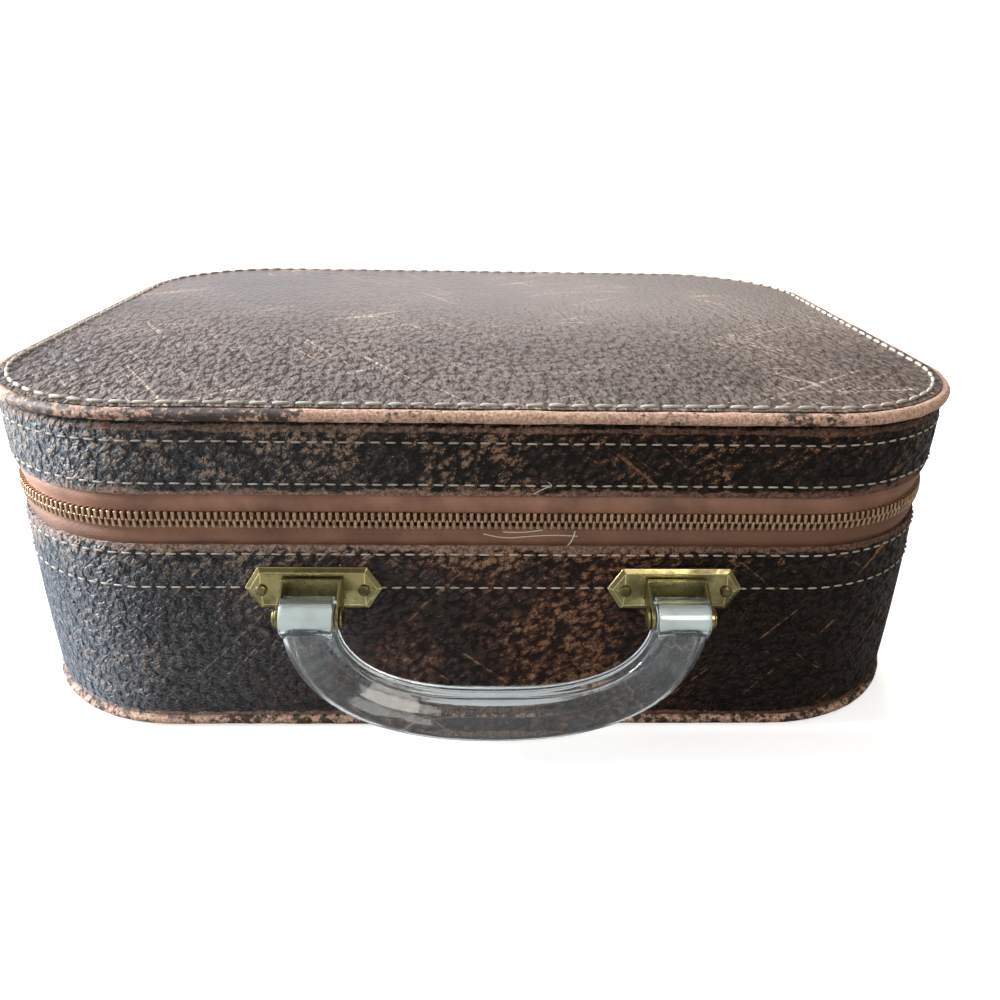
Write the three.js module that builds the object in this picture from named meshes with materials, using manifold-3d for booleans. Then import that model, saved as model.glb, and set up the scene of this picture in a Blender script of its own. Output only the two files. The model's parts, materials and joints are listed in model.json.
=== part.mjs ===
// A small leather-covered train case that zips round its sides, with a clear acrylic handle on
// two brass brackets. Units are millimetres: +X is the viewer's right, +Y the back, +Z up.
// The origin is the middle of the flat bottom, so the case stands on z = 0.
import * as THREE from "three";
import Module from "manifold-3d";
import { mergeVertices } from "three/addons/utils/BufferGeometryUtils.js";

const wasm = await Module();
wasm.setup();

// ---- Driving dimensions ----------------------------------------------------------------------
const CASE_WIDTH = 320;
const CASE_DEPTH = 244;
const CASE_HEIGHT = 114;
const CORNER_RADIUS = 58; // of the leather's outer face, seen from above
const PARTING_HEIGHT = 78; // the zip's centre line, where lid and body part
const ZIP_BAND_HEIGHT = 17; // of zip tape showing between the two leather bands
const LEATHER_THICKNESS = 2;
const TAPE_THICKNESS = 0.8;
const FRAME_THICKNESS = 4;
const BOTTOM_BOARD_THICKNESS = 4;
const TOP_BOARD_THICKNESS = 3;
const LINING_THICKNESS = 0.8;
const SEAM_ALLOWANCE = 7; // of tape or hinge leather sewn under a band
const FIT_GAP = 0.3; // between pieces that touch in use

const LID_WELT_RADIUS = 2;
const LID_WELT_INSET = 0.3; // of the welt's centre from the leather's outer face
const BOTTOM_WELT_RADIUS = 1.8;
const BOTTOM_WELT_INSET = 1;
const WELT_FLAT = 0.4; // core width that the rounded welt edges grow from
const GROUND_CLEARANCE = 0.2; // from the bottom welt to the surface that the case stands on

const TEETH_HEIGHT = 2.3; // of one row of zip teeth
const TEETH_THICKNESS = 2.8;
const TEETH_RECESS = 0.4; // of the teeth behind the leather's outer face
const TEETH_GAP = 1.4; // between the two rows, for the slider's post
const REBATE_DEPTH = 2.2; // cut from the frames' outer faces behind the zip
const REBATE_HEIGHT = 5.3; // of that rebate, each side of the parting line
const ZIP_END_ANGLE = 45; // where the zip ends on each back corner, from the side, in degrees
const STOP_LENGTH = 2.4;

const SLIDER_LENGTH = 12;
const SLIDER_HEIGHT = 8.8;
const SLIDER_WING = 1.2;
const SLIDER_CLEARANCE = 0.8; // from the outer wing to the teeth
const SLIDER_POST_LENGTH = 3;
const BRIDGE_SPAN = 3.6; // opening under the bridge that the pull turns in
const BRIDGE_LEG = 0.8;
const BRIDGE_WIDTH = 1.6;
const PULL_LENGTH = 22;
const PULL_WIDTH = 5.6;
const PULL_THICKNESS = 1.2;
const PULL_EYE_LENGTH = 4.5;
const PULL_CLEARANCE = 0.3;

const HANDLE_OFFSET = 6; // of the handle's middle from the case's middle
const HANDLE_SPACING = 114; // between the brackets' middles
const HANDLE_DROP = 37.5; // from the pins to the bar's centre line
const HANDLE_SQUARENESS = 2.3; // exponent of the bar's superellipse: 2 is an ellipse
const BAR_WIDTH = 16;
const BAR_THICKNESS = 15;
const BAR_CHAMFER = 4;
const BAR_STEPS = 30;
const BARREL_RADIUS = 6.4;
const PIN_HEIGHT = 51.5;
const PIN_STANDOFF = 12; // of the pins from the leather's face
const PIN_RADIUS = 1.6;
const PIN_HEAD_RADIUS = 3;
const PIN_HEAD_HEIGHT = 1.1;
const BUSH_WALL = 2.2;

const PLATE_WIDTH = 43;
const PLATE_HEIGHT = 14.5;
const PLATE_POINT = 4.5; // length of the pointed ends
const PLATE_EDGE = 0.8; // thickness at the rim
const PLATE_CROWN = 1.6; // rise of the bevels above the rim
const PLATE_BEVEL = 3.6; // width of the bevels
const PLATE_CENTRE_HEIGHT = 55.5;
const CLEVIS_SHEET = 1;
const CLEVIS_EAR_HEIGHT = 9;
const CLEVIS_TIP_RADIUS = 3.8;
const RIVET_RADIUS = 1.4;
const RIVET_HEAD_RADIUS = 1.9;
const RIVET_HEAD_HEIGHT = 0.8;
const RIVET_SPACING = 32;
const WASHER_RADIUS = 4;
const WASHER_THICKNESS = 0.8;

const MIRROR_WIDTH = 190;
const MIRROR_DEPTH = 130;
const MIRROR_THICKNESS = 2;
const MIRROR_FRAME_WIDTH = 6;
const MIRROR_CORNER_RADIUS = 12;

const ARC_STEPS = 5; // three.js draws an arc in twice this many segments
const ROUND_SIDES = 16;
const PIN_SIDES = 20;

// ---- Values worked out from them -------------------------------------------------------------
const HALF_WIDTH = CASE_WIDTH / 2;
const HALF_DEPTH = CASE_DEPTH / 2;
const CORNER_X = HALF_WIDTH - CORNER_RADIUS;
const CORNER_Y = HALF_DEPTH - CORNER_RADIUS;
const BODY_BAND_TOP = PARTING_HEIGHT - ZIP_BAND_HEIGHT / 2;
const LID_BAND_BOTTOM = PARTING_HEIGHT + ZIP_BAND_HEIGHT / 2;

const TAPE_INSET = LEATHER_THICKNESS + FIT_GAP;
const FRAME_INSET = TAPE_INSET + TAPE_THICKNESS + FIT_GAP;
const FRAME_INNER = FRAME_INSET + FRAME_THICKNESS;
const WASHER_INSET = FRAME_INNER + FIT_GAP;
const LINING_INSET = WASHER_INSET + WASHER_THICKNESS + RIVET_HEAD_HEIGHT / 2 + FIT_GAP;
const LINING_INNER = LINING_INSET + LINING_THICKNESS;
const PANEL_INSET = FRAME_INNER + FIT_GAP;

const LID_LEATHER_BOTTOM = CASE_HEIGHT - LEATHER_THICKNESS;
const TOP_BOARD_TOP = LID_LEATHER_BOTTOM - FIT_GAP;
const TOP_BOARD_BOTTOM = TOP_BOARD_TOP - TOP_BOARD_THICKNESS;
const LID_WELT_HEIGHT = CASE_HEIGHT - LID_WELT_RADIUS - GROUND_CLEARANCE;
const LID_BAND_TOP = LID_WELT_HEIGHT - LID_WELT_RADIUS - FIT_GAP;
const TOP_PANEL_INSET = LID_WELT_INSET + LID_WELT_RADIUS + FIT_GAP;
const LID_LINING_BOTTOM = TOP_BOARD_BOTTOM - FIT_GAP - LINING_THICKNESS;

const BOTTOM_WELT_HEIGHT = BOTTOM_WELT_RADIUS + GROUND_CLEARANCE;
const BOTTOM_PANEL_INSET = BOTTOM_WELT_INSET + BOTTOM_WELT_RADIUS + FIT_GAP;
const BODY_BAND_BOTTOM = BOTTOM_WELT_HEIGHT + BOTTOM_WELT_RADIUS + FIT_GAP;
const BOTTOM_BOARD_BOTTOM = LEATHER_THICKNESS + FIT_GAP;
const FRAME_BOTTOM = BOTTOM_BOARD_BOTTOM + BOTTOM_BOARD_THICKNESS + FIT_GAP;
const FLOOR_LINING_TOP = FRAME_BOTTOM + LINING_THICKNESS;

const TEETH_INNER = TEETH_RECESS + TEETH_THICKNESS;
const TEETH_OUTER_EDGE = TEETH_GAP / 2 + TEETH_HEIGHT; // from the parting line
const TAPE_EDGE = TEETH_OUTER_EDGE + FIT_GAP;
const ZIP_END = THREE.MathUtils.degToRad(ZIP_END_ANGLE);
const TAPE_END = ZIP_END + (STOP_LENGTH + 2 * FIT_GAP) / CORNER_RADIUS;
const HINGE_START = TAPE_END + FIT_GAP / (CORNER_RADIUS - FRAME_INSET);

const PIVOT_Y = -HALF_DEPTH - PIN_STANDOFF;
const PLATE_BACK_Y = -HALF_DEPTH - FIT_GAP;
const PLATE_FRONT_Y = PLATE_BACK_Y - PLATE_EDGE - PLATE_CROWN;
const BARREL_WIDTH = BAR_WIDTH;
const EAR_INNER = BARREL_WIDTH / 2 + 0.5;
const EAR_OUTER = EAR_INNER + CLEVIS_SHEET;
const PIN_HOLE_RADIUS = PIN_RADIUS + FIT_GAP;
const BUSH_OUTER = PIN_HOLE_RADIUS + BUSH_WALL;
const BUSH_BORE = BUSH_OUTER + FIT_GAP;

// ---- Materials -------------------------------------------------------------------------------
const material = (color, roughness, metalness = 0) =>
  new THREE.MeshStandardMaterial({ color, roughness, metalness });
const darkLeather = material(0x34241f, 0.6);
const wornLeather = material(0xa06a4a, 0.8);
const zipTape = material(0x8a5a40, 0.85);
const agedBrass = material(0x8a7740, 0.35, 1);
const zipBrass = material(0x8c6a42, 0.4, 1);
const board = material(0xb89468, 0.9);
const lining = material(0xa8875f, 0.95);
const steel = material(0xb9bcc0, 0.3, 1);
const mirrorGlass = material(0xdfe6ea, 0.05, 1);
const acrylic = new THREE.MeshStandardMaterial({
  color: 0xd7e6e8,
  roughness: 0.05,
  transparent: true,
  opacity: 0.4,
});

// ---- Solids ----------------------------------------------------------------------------------
function solid(geometry) {
  const bare = geometry.clone();
  for (const name of Object.keys(bare.attributes)) {
    if (name !== "position") bare.deleteAttribute(name);
  }
  const merged = mergeVertices(bare, 1e-4);
  return new wasm.Manifold(
    new wasm.Mesh({
      numProp: 3,
      vertProperties: merged.attributes.position.array,
      triVerts: new Uint32Array(merged.index.array),
    }),
  );
}

function geometryOf(manifold) {
  const mesh = manifold.getMesh();
  return new THREE.BufferGeometry()
    .setAttribute("position", new THREE.BufferAttribute(mesh.vertProperties, 3))
    .setIndex(new THREE.BufferAttribute(mesh.triVerts, 1));
}

const joined = (...geometries) => geometryOf(geometries.map(solid).reduce((a, b) => a.add(b)));
const cut = (geometry, ...tools) =>
  geometryOf(tools.map(solid).reduce((a, b) => a.subtract(b), solid(geometry)));
const common = (a, b) => geometryOf(solid(a).intersect(solid(b)));

const moved = (geometry, x, y, z) => geometry.clone().translate(x, y, z);
const box = (x0, x1, y0, y1, z0, z1) =>
  moved(new THREE.BoxGeometry(x1 - x0, y1 - y0, z1 - z0), (x0 + x1) / 2, (y0 + y1) / 2, (z0 + z1) / 2);

function extrude(shape, z0, z1) {
  const settings = { depth: z1 - z0, bevelEnabled: false, curveSegments: ARC_STEPS };
  return moved(new THREE.ExtrudeGeometry(shape, settings), 0, 0, z0);
}

// A cylinder along X, from x0 to x1.
const rod = (radius, x0, x1, y, z, sides = PIN_SIDES) =>
  moved(new THREE.CylinderGeometry(radius, radius, x1 - x0, sides).rotateZ(Math.PI / 2), (x0 + x1) / 2, y, z);

// A cylinder along Y, from y0 to y1.
const peg = (radius, x, y0, y1, z, sides = ROUND_SIDES) =>
  moved(new THREE.CylinderGeometry(radius, radius, y1 - y0, sides), x, (y0 + y1) / 2, z);

// The case's plan outline, drawn inset from the leather's outer face.
function planOutline(inset, Kind = THREE.Shape) {
  const r = CORNER_RADIUS - inset;
  const quarter = Math.PI / 2;
  const path = new Kind();
  path.moveTo(CORNER_X, -CORNER_Y - r);
  path.absarc(CORNER_X, -CORNER_Y, r, -quarter, 0);
  path.absarc(CORNER_X, CORNER_Y, r, 0, quarter);
  path.absarc(-CORNER_X, CORNER_Y, r, quarter, 2 * quarter);
  path.absarc(-CORNER_X, -CORNER_Y, r, 2 * quarter, 3 * quarter);
  path.closePath();
  return path;
}

const panel = (inset, z0, z1) => extrude(planOutline(inset), z0, z1);

function ringShape(outerInset, innerInset) {
  const shape = planOutline(outerInset);
  shape.holes.push(planOutline(innerInset, THREE.Path));
  return shape;
}

const ring = (outerInset, innerInset, z0, z1) => extrude(ringShape(outerInset, innerInset), z0, z1);

// A ring of nearly round section: a thin core whose edges are rounded off by the bevel.
function welt(inset, height, radius) {
  const core = ringShape(inset - WELT_FLAT / 2, inset + WELT_FLAT / 2);
  const bevel = radius - WELT_FLAT / 2;
  const settings = {
    depth: WELT_FLAT,
    curveSegments: ARC_STEPS,
    bevelThickness: bevel,
    bevelSize: bevel,
    bevelSegments: 3,
  };
  return moved(new THREE.ExtrudeGeometry(core, settings), 0, 0, height - WELT_FLAT / 2);
}

// The zip's track: from one back corner round the sides and the front to the other back corner.
function zipTrack(outerInset, innerInset, end) {
  const shape = new THREE.Shape();
  const outer = CORNER_RADIUS - outerInset;
  const inner = CORNER_RADIUS - innerInset;
  const quarter = Math.PI / 2;
  shape.absarc(-CORNER_X, CORNER_Y, outer, Math.PI - end, Math.PI);
  shape.absarc(-CORNER_X, -CORNER_Y, outer, Math.PI, 3 * quarter);
  shape.absarc(CORNER_X, -CORNER_Y, outer, -quarter, 0);
  shape.absarc(CORNER_X, CORNER_Y, outer, 0, end);
  shape.absarc(CORNER_X, CORNER_Y, inner, end, 0, true);
  shape.absarc(CORNER_X, -CORNER_Y, inner, 0, -quarter, true);
  shape.absarc(-CORNER_X, -CORNER_Y, inner, 3 * quarter, Math.PI, true);
  shape.absarc(-CORNER_X, CORNER_Y, inner, Math.PI, Math.PI - end, true);
  shape.closePath();
  return shape;
}

// The rest of the way round, across the back, where the hinge leather runs.
function hingeTrack(outerInset, innerInset, start) {
  const shape = new THREE.Shape();
  const outer = CORNER_RADIUS - outerInset;
  const inner = CORNER_RADIUS - innerInset;
  const quarter = Math.PI / 2;
  shape.absarc(CORNER_X, CORNER_Y, outer, start, quarter);
  shape.absarc(-CORNER_X, CORNER_Y, outer, quarter, Math.PI - start);
  shape.absarc(-CORNER_X, CORNER_Y, inner, Math.PI - start, quarter, true);
  shape.absarc(CORNER_X, CORNER_Y, inner, quarter, start, true);
  shape.closePath();
  return shape;
}

// A short block on a back corner, between two angles measured from that side. side is 1 or -1.
function cornerBlock(side, outerInset, innerInset, from, to, z0, z1) {
  const outer = CORNER_RADIUS - outerInset;
  const inner = CORNER_RADIUS - innerInset;
  const at = (radius, angle) => [side * (CORNER_X + radius * Math.cos(angle)), CORNER_Y + radius * Math.sin(angle)];
  const corners = [at(outer, from), at(outer, to), at(inner, to), at(inner, from)];
  const shape = new THREE.Shape(corners.map(([x, y]) => new THREE.Vector2(x, y)));
  return extrude(shape, z0, z1);
}

const caseBody = new THREE.Group();
const lid = new THREE.Group();
const handle = new THREE.Group();
const trainCase = new THREE.Group();
trainCase.add(caseBody, lid, handle);

function add(group, name, geometry, finish) {
  const mesh = new THREE.Mesh(geometry, finish);
  mesh.name = name;
  group.add(mesh);
  return mesh;
}

// ---- Body of the case ------------------------------------------------------------------------
const rivetPlaces = [];
for (const side of [-1, 1]) {
  const bracketX = HANDLE_OFFSET + (side * HANDLE_SPACING) / 2;
  for (const way of [-1, 1]) {
    rivetPlaces.push({ side, way, x: bracketX + (way * RIVET_SPACING) / 2 });
  }
}
const rivetHoles = rivetPlaces.map(({ x }) =>
  peg(RIVET_RADIUS + FIT_GAP, x, -HALF_DEPTH - 1, -HALF_DEPTH + LINING_INSET, PLATE_CENTRE_HEIGHT),
);

// A frame is a bent board ring, rebated behind the zip so that the chain and slider run clear.
function frameRing(bottom, top, rebatedBottom, rebatedTop) {
  return joined(
    ring(FRAME_INSET + REBATE_DEPTH, FRAME_INNER, bottom, top),
    ring(FRAME_INSET, FRAME_INNER, rebatedBottom, rebatedTop),
  );
}

add(caseBody, "bottom_leather", panel(BOTTOM_PANEL_INSET, 0, LEATHER_THICKNESS), darkLeather);
add(
  caseBody,
  "bottom_board",
  panel(BOTTOM_PANEL_INSET, BOTTOM_BOARD_BOTTOM, BOTTOM_BOARD_BOTTOM + BOTTOM_BOARD_THICKNESS),
  board,
);
add(caseBody, "bottom_welt", welt(BOTTOM_WELT_INSET, BOTTOM_WELT_HEIGHT, BOTTOM_WELT_RADIUS), wornLeather);
add(
  caseBody,
  "body_frame",
  cut(
    frameRing(FRAME_BOTTOM, PARTING_HEIGHT - FIT_GAP, FRAME_BOTTOM, PARTING_HEIGHT - REBATE_HEIGHT),
    ...rivetHoles,
  ),
  board,
);
add(
  caseBody,
  "body_leather_band",
  cut(ring(0, LEATHER_THICKNESS, BODY_BAND_BOTTOM, BODY_BAND_TOP), ...rivetHoles),
  darkLeather,
);
add(caseBody, "body_lining_floor", panel(PANEL_INSET, FRAME_BOTTOM, FLOOR_LINING_TOP), lining);
add(
  caseBody,
  "body_lining_wall",
  ring(LINING_INSET, LINING_INNER, FLOOR_LINING_TOP + FIT_GAP, PARTING_HEIGHT - 1),
  lining,
);

// ---- Lid -------------------------------------------------------------------------------------
add(lid, "lid_top_leather", panel(TOP_PANEL_INSET, LID_LEATHER_BOTTOM, CASE_HEIGHT), darkLeather);
add(lid, "lid_top_board", panel(TOP_PANEL_INSET, TOP_BOARD_BOTTOM, TOP_BOARD_TOP), board);
add(lid, "lid_welt", welt(LID_WELT_INSET, LID_WELT_HEIGHT, LID_WELT_RADIUS), wornLeather);
add(
  lid,
  "lid_frame",
  frameRing(
    PARTING_HEIGHT + FIT_GAP,
    TOP_BOARD_BOTTOM - FIT_GAP,
    PARTING_HEIGHT + REBATE_HEIGHT,
    TOP_BOARD_BOTTOM - FIT_GAP,
  ),
  board,
);
add(lid, "lid_leather_band", ring(0, LEATHER_THICKNESS, LID_BAND_BOTTOM, LID_BAND_TOP), darkLeather);
add(
  lid,
  "lid_lining_top",
  panel(PANEL_INSET, LID_LINING_BOTTOM, LID_LINING_BOTTOM + LINING_THICKNESS),
  lining,
);
add(
  lid,
  "lid_lining_wall",
  ring(LINING_INSET, LINING_INNER, PARTING_HEIGHT + 1, LID_LINING_BOTTOM - FIT_GAP),
  lining,
);

// The mirror hangs under the lid's lining, held by a narrow leather frame that laps its edge.
function roundedRectangle(width, depth, radius, Kind = THREE.Shape) {
  const x = width / 2 - radius;
  const y = depth / 2 - radius;
  const quarter = Math.PI / 2;
  const path = new Kind();
  path.absarc(x, -y, radius, -quarter, 0);
  path.absarc(x, y, radius, 0, quarter);
  path.absarc(-x, y, radius, quarter, 2 * quarter);
  path.absarc(-x, -y, radius, 2 * quarter, 3 * quarter);
  path.closePath();
  return path;
}
const MIRROR_TOP = LID_LINING_BOTTOM - FIT_GAP;
const MIRROR_BOTTOM = MIRROR_TOP - MIRROR_THICKNESS;
const MIRROR_LAP = MIRROR_FRAME_WIDTH / 2;
const mirrorFrameBottom = MIRROR_BOTTOM - FIT_GAP - CLEVIS_SHEET;
const mirrorRecess = extrude(
  roundedRectangle(MIRROR_WIDTH + 2 * FIT_GAP, MIRROR_DEPTH + 2 * FIT_GAP, MIRROR_CORNER_RADIUS + FIT_GAP),
  MIRROR_BOTTOM - FIT_GAP,
  MIRROR_TOP + 1,
);
const mirrorWindow = extrude(
  roundedRectangle(MIRROR_WIDTH - 2 * MIRROR_LAP, MIRROR_DEPTH - 2 * MIRROR_LAP, MIRROR_CORNER_RADIUS - MIRROR_LAP),
  mirrorFrameBottom - 1,
  MIRROR_TOP,
);
const mirrorFrameBlank = extrude(
  roundedRectangle(
    MIRROR_WIDTH + 2 * MIRROR_LAP,
    MIRROR_DEPTH + 2 * MIRROR_LAP,
    MIRROR_CORNER_RADIUS + MIRROR_LAP,
  ),
  mirrorFrameBottom,
  MIRROR_TOP,
);
add(
  lid,
  "lid_mirror",
  extrude(roundedRectangle(MIRROR_WIDTH, MIRROR_DEPTH, MIRROR_CORNER_RADIUS), MIRROR_BOTTOM, MIRROR_TOP),
  mirrorGlass,
);
add(lid, "mirror_frame", cut(mirrorFrameBlank, mirrorRecess, mirrorWindow), darkLeather);

// ---- Zip and hinge ---------------------------------------------------------------------------
const TAPE_HIDDEN = ZIP_BAND_HEIGHT / 2 + SEAM_ALLOWANCE; // tape's far edge from the parting line
const tape = zipTrack(TAPE_INSET, TAPE_INSET + TAPE_THICKNESS, TAPE_END);
const teeth = zipTrack(TEETH_RECESS, TEETH_INNER, ZIP_END);
add(
  caseBody,
  "zip_tape_lower",
  extrude(tape, PARTING_HEIGHT - TAPE_HIDDEN, PARTING_HEIGHT - TAPE_EDGE),
  zipTape,
);
add(
  caseBody,
  "zip_teeth_lower",
  extrude(teeth, PARTING_HEIGHT - TEETH_OUTER_EDGE, PARTING_HEIGHT - TEETH_GAP / 2),
  zipBrass,
);
add(
  lid,
  "zip_tape_upper",
  extrude(tape, PARTING_HEIGHT + TAPE_EDGE, PARTING_HEIGHT + TAPE_HIDDEN),
  zipTape,
);
add(
  lid,
  "zip_teeth_upper",
  extrude(teeth, PARTING_HEIGHT + TEETH_GAP / 2, PARTING_HEIGHT + TEETH_OUTER_EDGE),
  zipBrass,
);
add(
  caseBody,
  "hinge_leather",
  extrude(
    hingeTrack(TAPE_INSET, TAPE_INSET + TAPE_THICKNESS, HINGE_START),
    PARTING_HEIGHT - TAPE_HIDDEN,
    PARTING_HEIGHT + TAPE_HIDDEN,
  ),
  darkLeather,
);

// Metal stops end the chain: one across both rows where it starts, one on each row where it closes.
const stopFrom = ZIP_END + FIT_GAP / CORNER_RADIUS;
const stopTo = stopFrom + STOP_LENGTH / CORNER_RADIUS;
const stopInner = TAPE_INSET - FIT_GAP;
add(
  caseBody,
  "zip_start_stop",
  cornerBlock(
    -1,
    TEETH_RECESS,
    stopInner,
    stopFrom,
    stopTo,
    PARTING_HEIGHT - TEETH_OUTER_EDGE,
    PARTING_HEIGHT + TEETH_OUTER_EDGE,
  ),
  zipBrass,
);
add(
  caseBody,
  "zip_end_stop_lower",
  cornerBlock(
    1,
    TEETH_RECESS,
    stopInner,
    stopFrom,
    stopTo,
    PARTING_HEIGHT - TEETH_OUTER_EDGE,
    PARTING_HEIGHT - TEETH_GAP / 2,
  ),
  zipBrass,
);
add(
  lid,
  "zip_end_stop_upper",
  cornerBlock(
    1,
    TEETH_RECESS,
    stopInner,
    stopFrom,
    stopTo,
    PARTING_HEIGHT + TEETH_GAP / 2,
    PARTING_HEIGHT + TEETH_OUTER_EDGE,
  ),
  zipBrass,
);

// The slider is drawn on the side of the corner and turned about the corner's centre to the
// place where it closes the zip. In this frame X is out of the case and Y along the chain.
const sliderHalf = SLIDER_LENGTH / 2;
const sliderSag = sliderHalf ** 2 / (2 * (CORNER_RADIUS - TEETH_INNER));
const outerWing = CORNER_RADIUS - TEETH_RECESS + SLIDER_CLEARANCE;
const innerWing = CORNER_RADIUS - TEETH_INNER - FIT_GAP - sliderSag;
const bridgeFoot = outerWing + SLIDER_WING;
const pullAxis = bridgeFoot + PULL_CLEARANCE + PULL_THICKNESS / 2;
const bridgeTop = pullAxis + PULL_THICKNESS / 2 + PULL_CLEARANCE + BRIDGE_LEG;
const parkAngle = ZIP_END - (sliderHalf + 1) / CORNER_RADIUS;

const slider = new THREE.Group();
slider.position.set(CORNER_X, CORNER_Y, PARTING_HEIGHT);
slider.rotation.z = parkAngle;
trainCase.add(slider);

// A wing is a shield shape: square at the end that closes the chain, narrowing at the other.
function wing(x0, x1) {
  const half = SLIDER_HEIGHT / 2;
  const waist = half * 0.72;
  const shape = new THREE.Shape();
  shape.moveTo(-waist, -sliderHalf);
  shape.lineTo(waist, -sliderHalf);
  shape.lineTo(half, sliderHalf * 0.2);
  shape.lineTo(half * 0.8, sliderHalf);
  shape.lineTo(-half * 0.8, sliderHalf);
  shape.lineTo(-half, sliderHalf * 0.2);
  shape.closePath();
  return extrude(shape, 0, x1 - x0).rotateY(Math.PI / 2).translate(x0, 0, 0);
}
const postTop = sliderHalf - 1;
const post = box(
  innerWing - SLIDER_WING / 2,
  bridgeFoot - SLIDER_WING / 2,
  postTop - SLIDER_POST_LENGTH,
  postTop,
  -TEETH_GAP / 2 + FIT_GAP,
  TEETH_GAP / 2 - FIT_GAP,
);
const bridgeHalf = BRIDGE_SPAN / 2 + BRIDGE_LEG;
const bridge = cut(
  box(bridgeFoot - SLIDER_WING / 2, bridgeTop, -bridgeHalf, bridgeHalf, -BRIDGE_WIDTH / 2, BRIDGE_WIDTH / 2),
  box(bridgeFoot, bridgeTop - BRIDGE_LEG, -BRIDGE_SPAN / 2, BRIDGE_SPAN / 2, -BRIDGE_WIDTH, BRIDGE_WIDTH),
);
add(
  slider,
  "zip_slider",
  joined(wing(innerWing - SLIDER_WING, innerWing), wing(outerWing, bridgeFoot), post, bridge),
  zipBrass,
);

// The pull's eye loops the bridge and turns on its own end bar.
const eyeHalf = BRIDGE_WIDTH / 2 + 0.5;
const pullBar = new THREE.CylinderGeometry(PULL_THICKNESS / 2, PULL_THICKNESS / 2, PULL_WIDTH, ROUND_SIDES)
  .rotateX(Math.PI / 2)
  .translate(pullAxis, 0, 0);
const pullBlank = box(
  pullAxis - PULL_THICKNESS / 2,
  pullAxis + PULL_THICKNESS / 2,
  -PULL_LENGTH,
  0,
  -PULL_WIDTH / 2,
  PULL_WIDTH / 2,
);
const pullEye = box(
  pullAxis - PULL_THICKNESS,
  pullAxis + PULL_THICKNESS,
  -PULL_EYE_LENGTH,
  -PULL_THICKNESS / 2,
  -eyeHalf,
  eyeHalf,
);
add(slider, "zip_pull", cut(joined(pullBlank, pullBar), pullEye), zipBrass);

// ---- Handle and its brackets -----------------------------------------------------------------
// The bar's centre line is half a superellipse hung from the two pins.
class BailCurve extends THREE.Curve {
  getPoint(t, target = new THREE.Vector3()) {
    const angle = Math.PI * (1 + t);
    const power = 2 / HANDLE_SQUARENESS;
    const part = (value) => Math.sign(value) * Math.abs(value) ** power;
    return target.set(
      HANDLE_OFFSET + (HANDLE_SPACING / 2) * part(Math.cos(angle)),
      PIVOT_Y,
      PIN_HEIGHT + HANDLE_DROP * part(Math.sin(angle)),
    );
  }
}

// The bar's section is a rectangle with its four corners chamfered.
function barSection() {
  const x = BAR_THICKNESS / 2;
  const y = BAR_WIDTH / 2;
  const c = BAR_CHAMFER;
  const corners = [
    [x, -y + c],
    [x, y - c],
    [x - c, y],
    [-x + c, y],
    [-x, y - c],
    [-x, -y + c],
    [-x + c, -y],
    [x - c, -y],
  ];
  return new THREE.Shape(corners.map(([a, b]) => new THREE.Vector2(a, b)));
}

const bar = new THREE.ExtrudeGeometry(barSection(), {
  steps: BAR_STEPS,
  bevelEnabled: false,
  extrudePath: new BailCurve(),
});
const bracketXs = [-1, 1].map((side) => HANDLE_OFFSET + (side * HANDLE_SPACING) / 2);
const barrels = bracketXs.map((x) =>
  rod(BARREL_RADIUS, x - BARREL_WIDTH / 2, x + BARREL_WIDTH / 2, PIVOT_Y, PIN_HEIGHT),
);
const barrelBores = bracketXs.map((x) =>
  rod(BUSH_BORE, x - BARREL_WIDTH, x + BARREL_WIDTH, PIVOT_Y, PIN_HEIGHT),
);
add(handle, "handle_bar", cut(joined(bar, ...barrels), ...barrelBores), acrylic);

function bevelledPlate(x) {
  const half = PLATE_WIDTH / 2;
  const high = PLATE_HEIGHT / 2;
  const corners = [
    [-half, 0],
    [-half + PLATE_POINT, -high],
    [half - PLATE_POINT, -high],
    [half, 0],
    [half - PLATE_POINT, high],
    [-half + PLATE_POINT, high],
  ];
  const outline = new THREE.Shape(corners.map(([a, b]) => new THREE.Vector2(a, b)));
  const blank = new THREE.ExtrudeGeometry(outline, {
    depth: 2 * PLATE_EDGE,
    bevelThickness: PLATE_CROWN,
    bevelSize: PLATE_BEVEL,
    bevelOffset: -PLATE_BEVEL,
    bevelSegments: 1,
  });
  blank.translate(0, 0, -PLATE_EDGE);
  const front = box(-PLATE_WIDTH, PLATE_WIDTH, -PLATE_HEIGHT, PLATE_HEIGHT, 0, 4 * PLATE_CROWN);
  return common(blank, front).rotateX(Math.PI / 2).translate(x, PLATE_BACK_Y, PLATE_CENTRE_HEIGHT);
}

// An ear stands off the plate and rounds over the pin.
function ear(x0, x1) {
  const backY = -(PLATE_FRONT_Y - FIT_GAP);
  const tipY = -PIVOT_Y;
  const top = PLATE_CENTRE_HEIGHT + CLEVIS_EAR_HEIGHT / 2;
  const shape = new THREE.Shape();
  shape.moveTo(backY, top - CLEVIS_EAR_HEIGHT);
  shape.lineTo(tipY - CLEVIS_TIP_RADIUS * 0.6, PIN_HEIGHT - CLEVIS_TIP_RADIUS);
  shape.absarc(tipY, PIN_HEIGHT, CLEVIS_TIP_RADIUS, -Math.PI / 2, Math.PI / 2);
  shape.lineTo(backY, top);
  shape.closePath();
  return extrude(shape, 0, x1 - x0).rotateX(Math.PI / 2).rotateZ(-Math.PI / 2).translate(x1, 0, 0);
}

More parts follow.
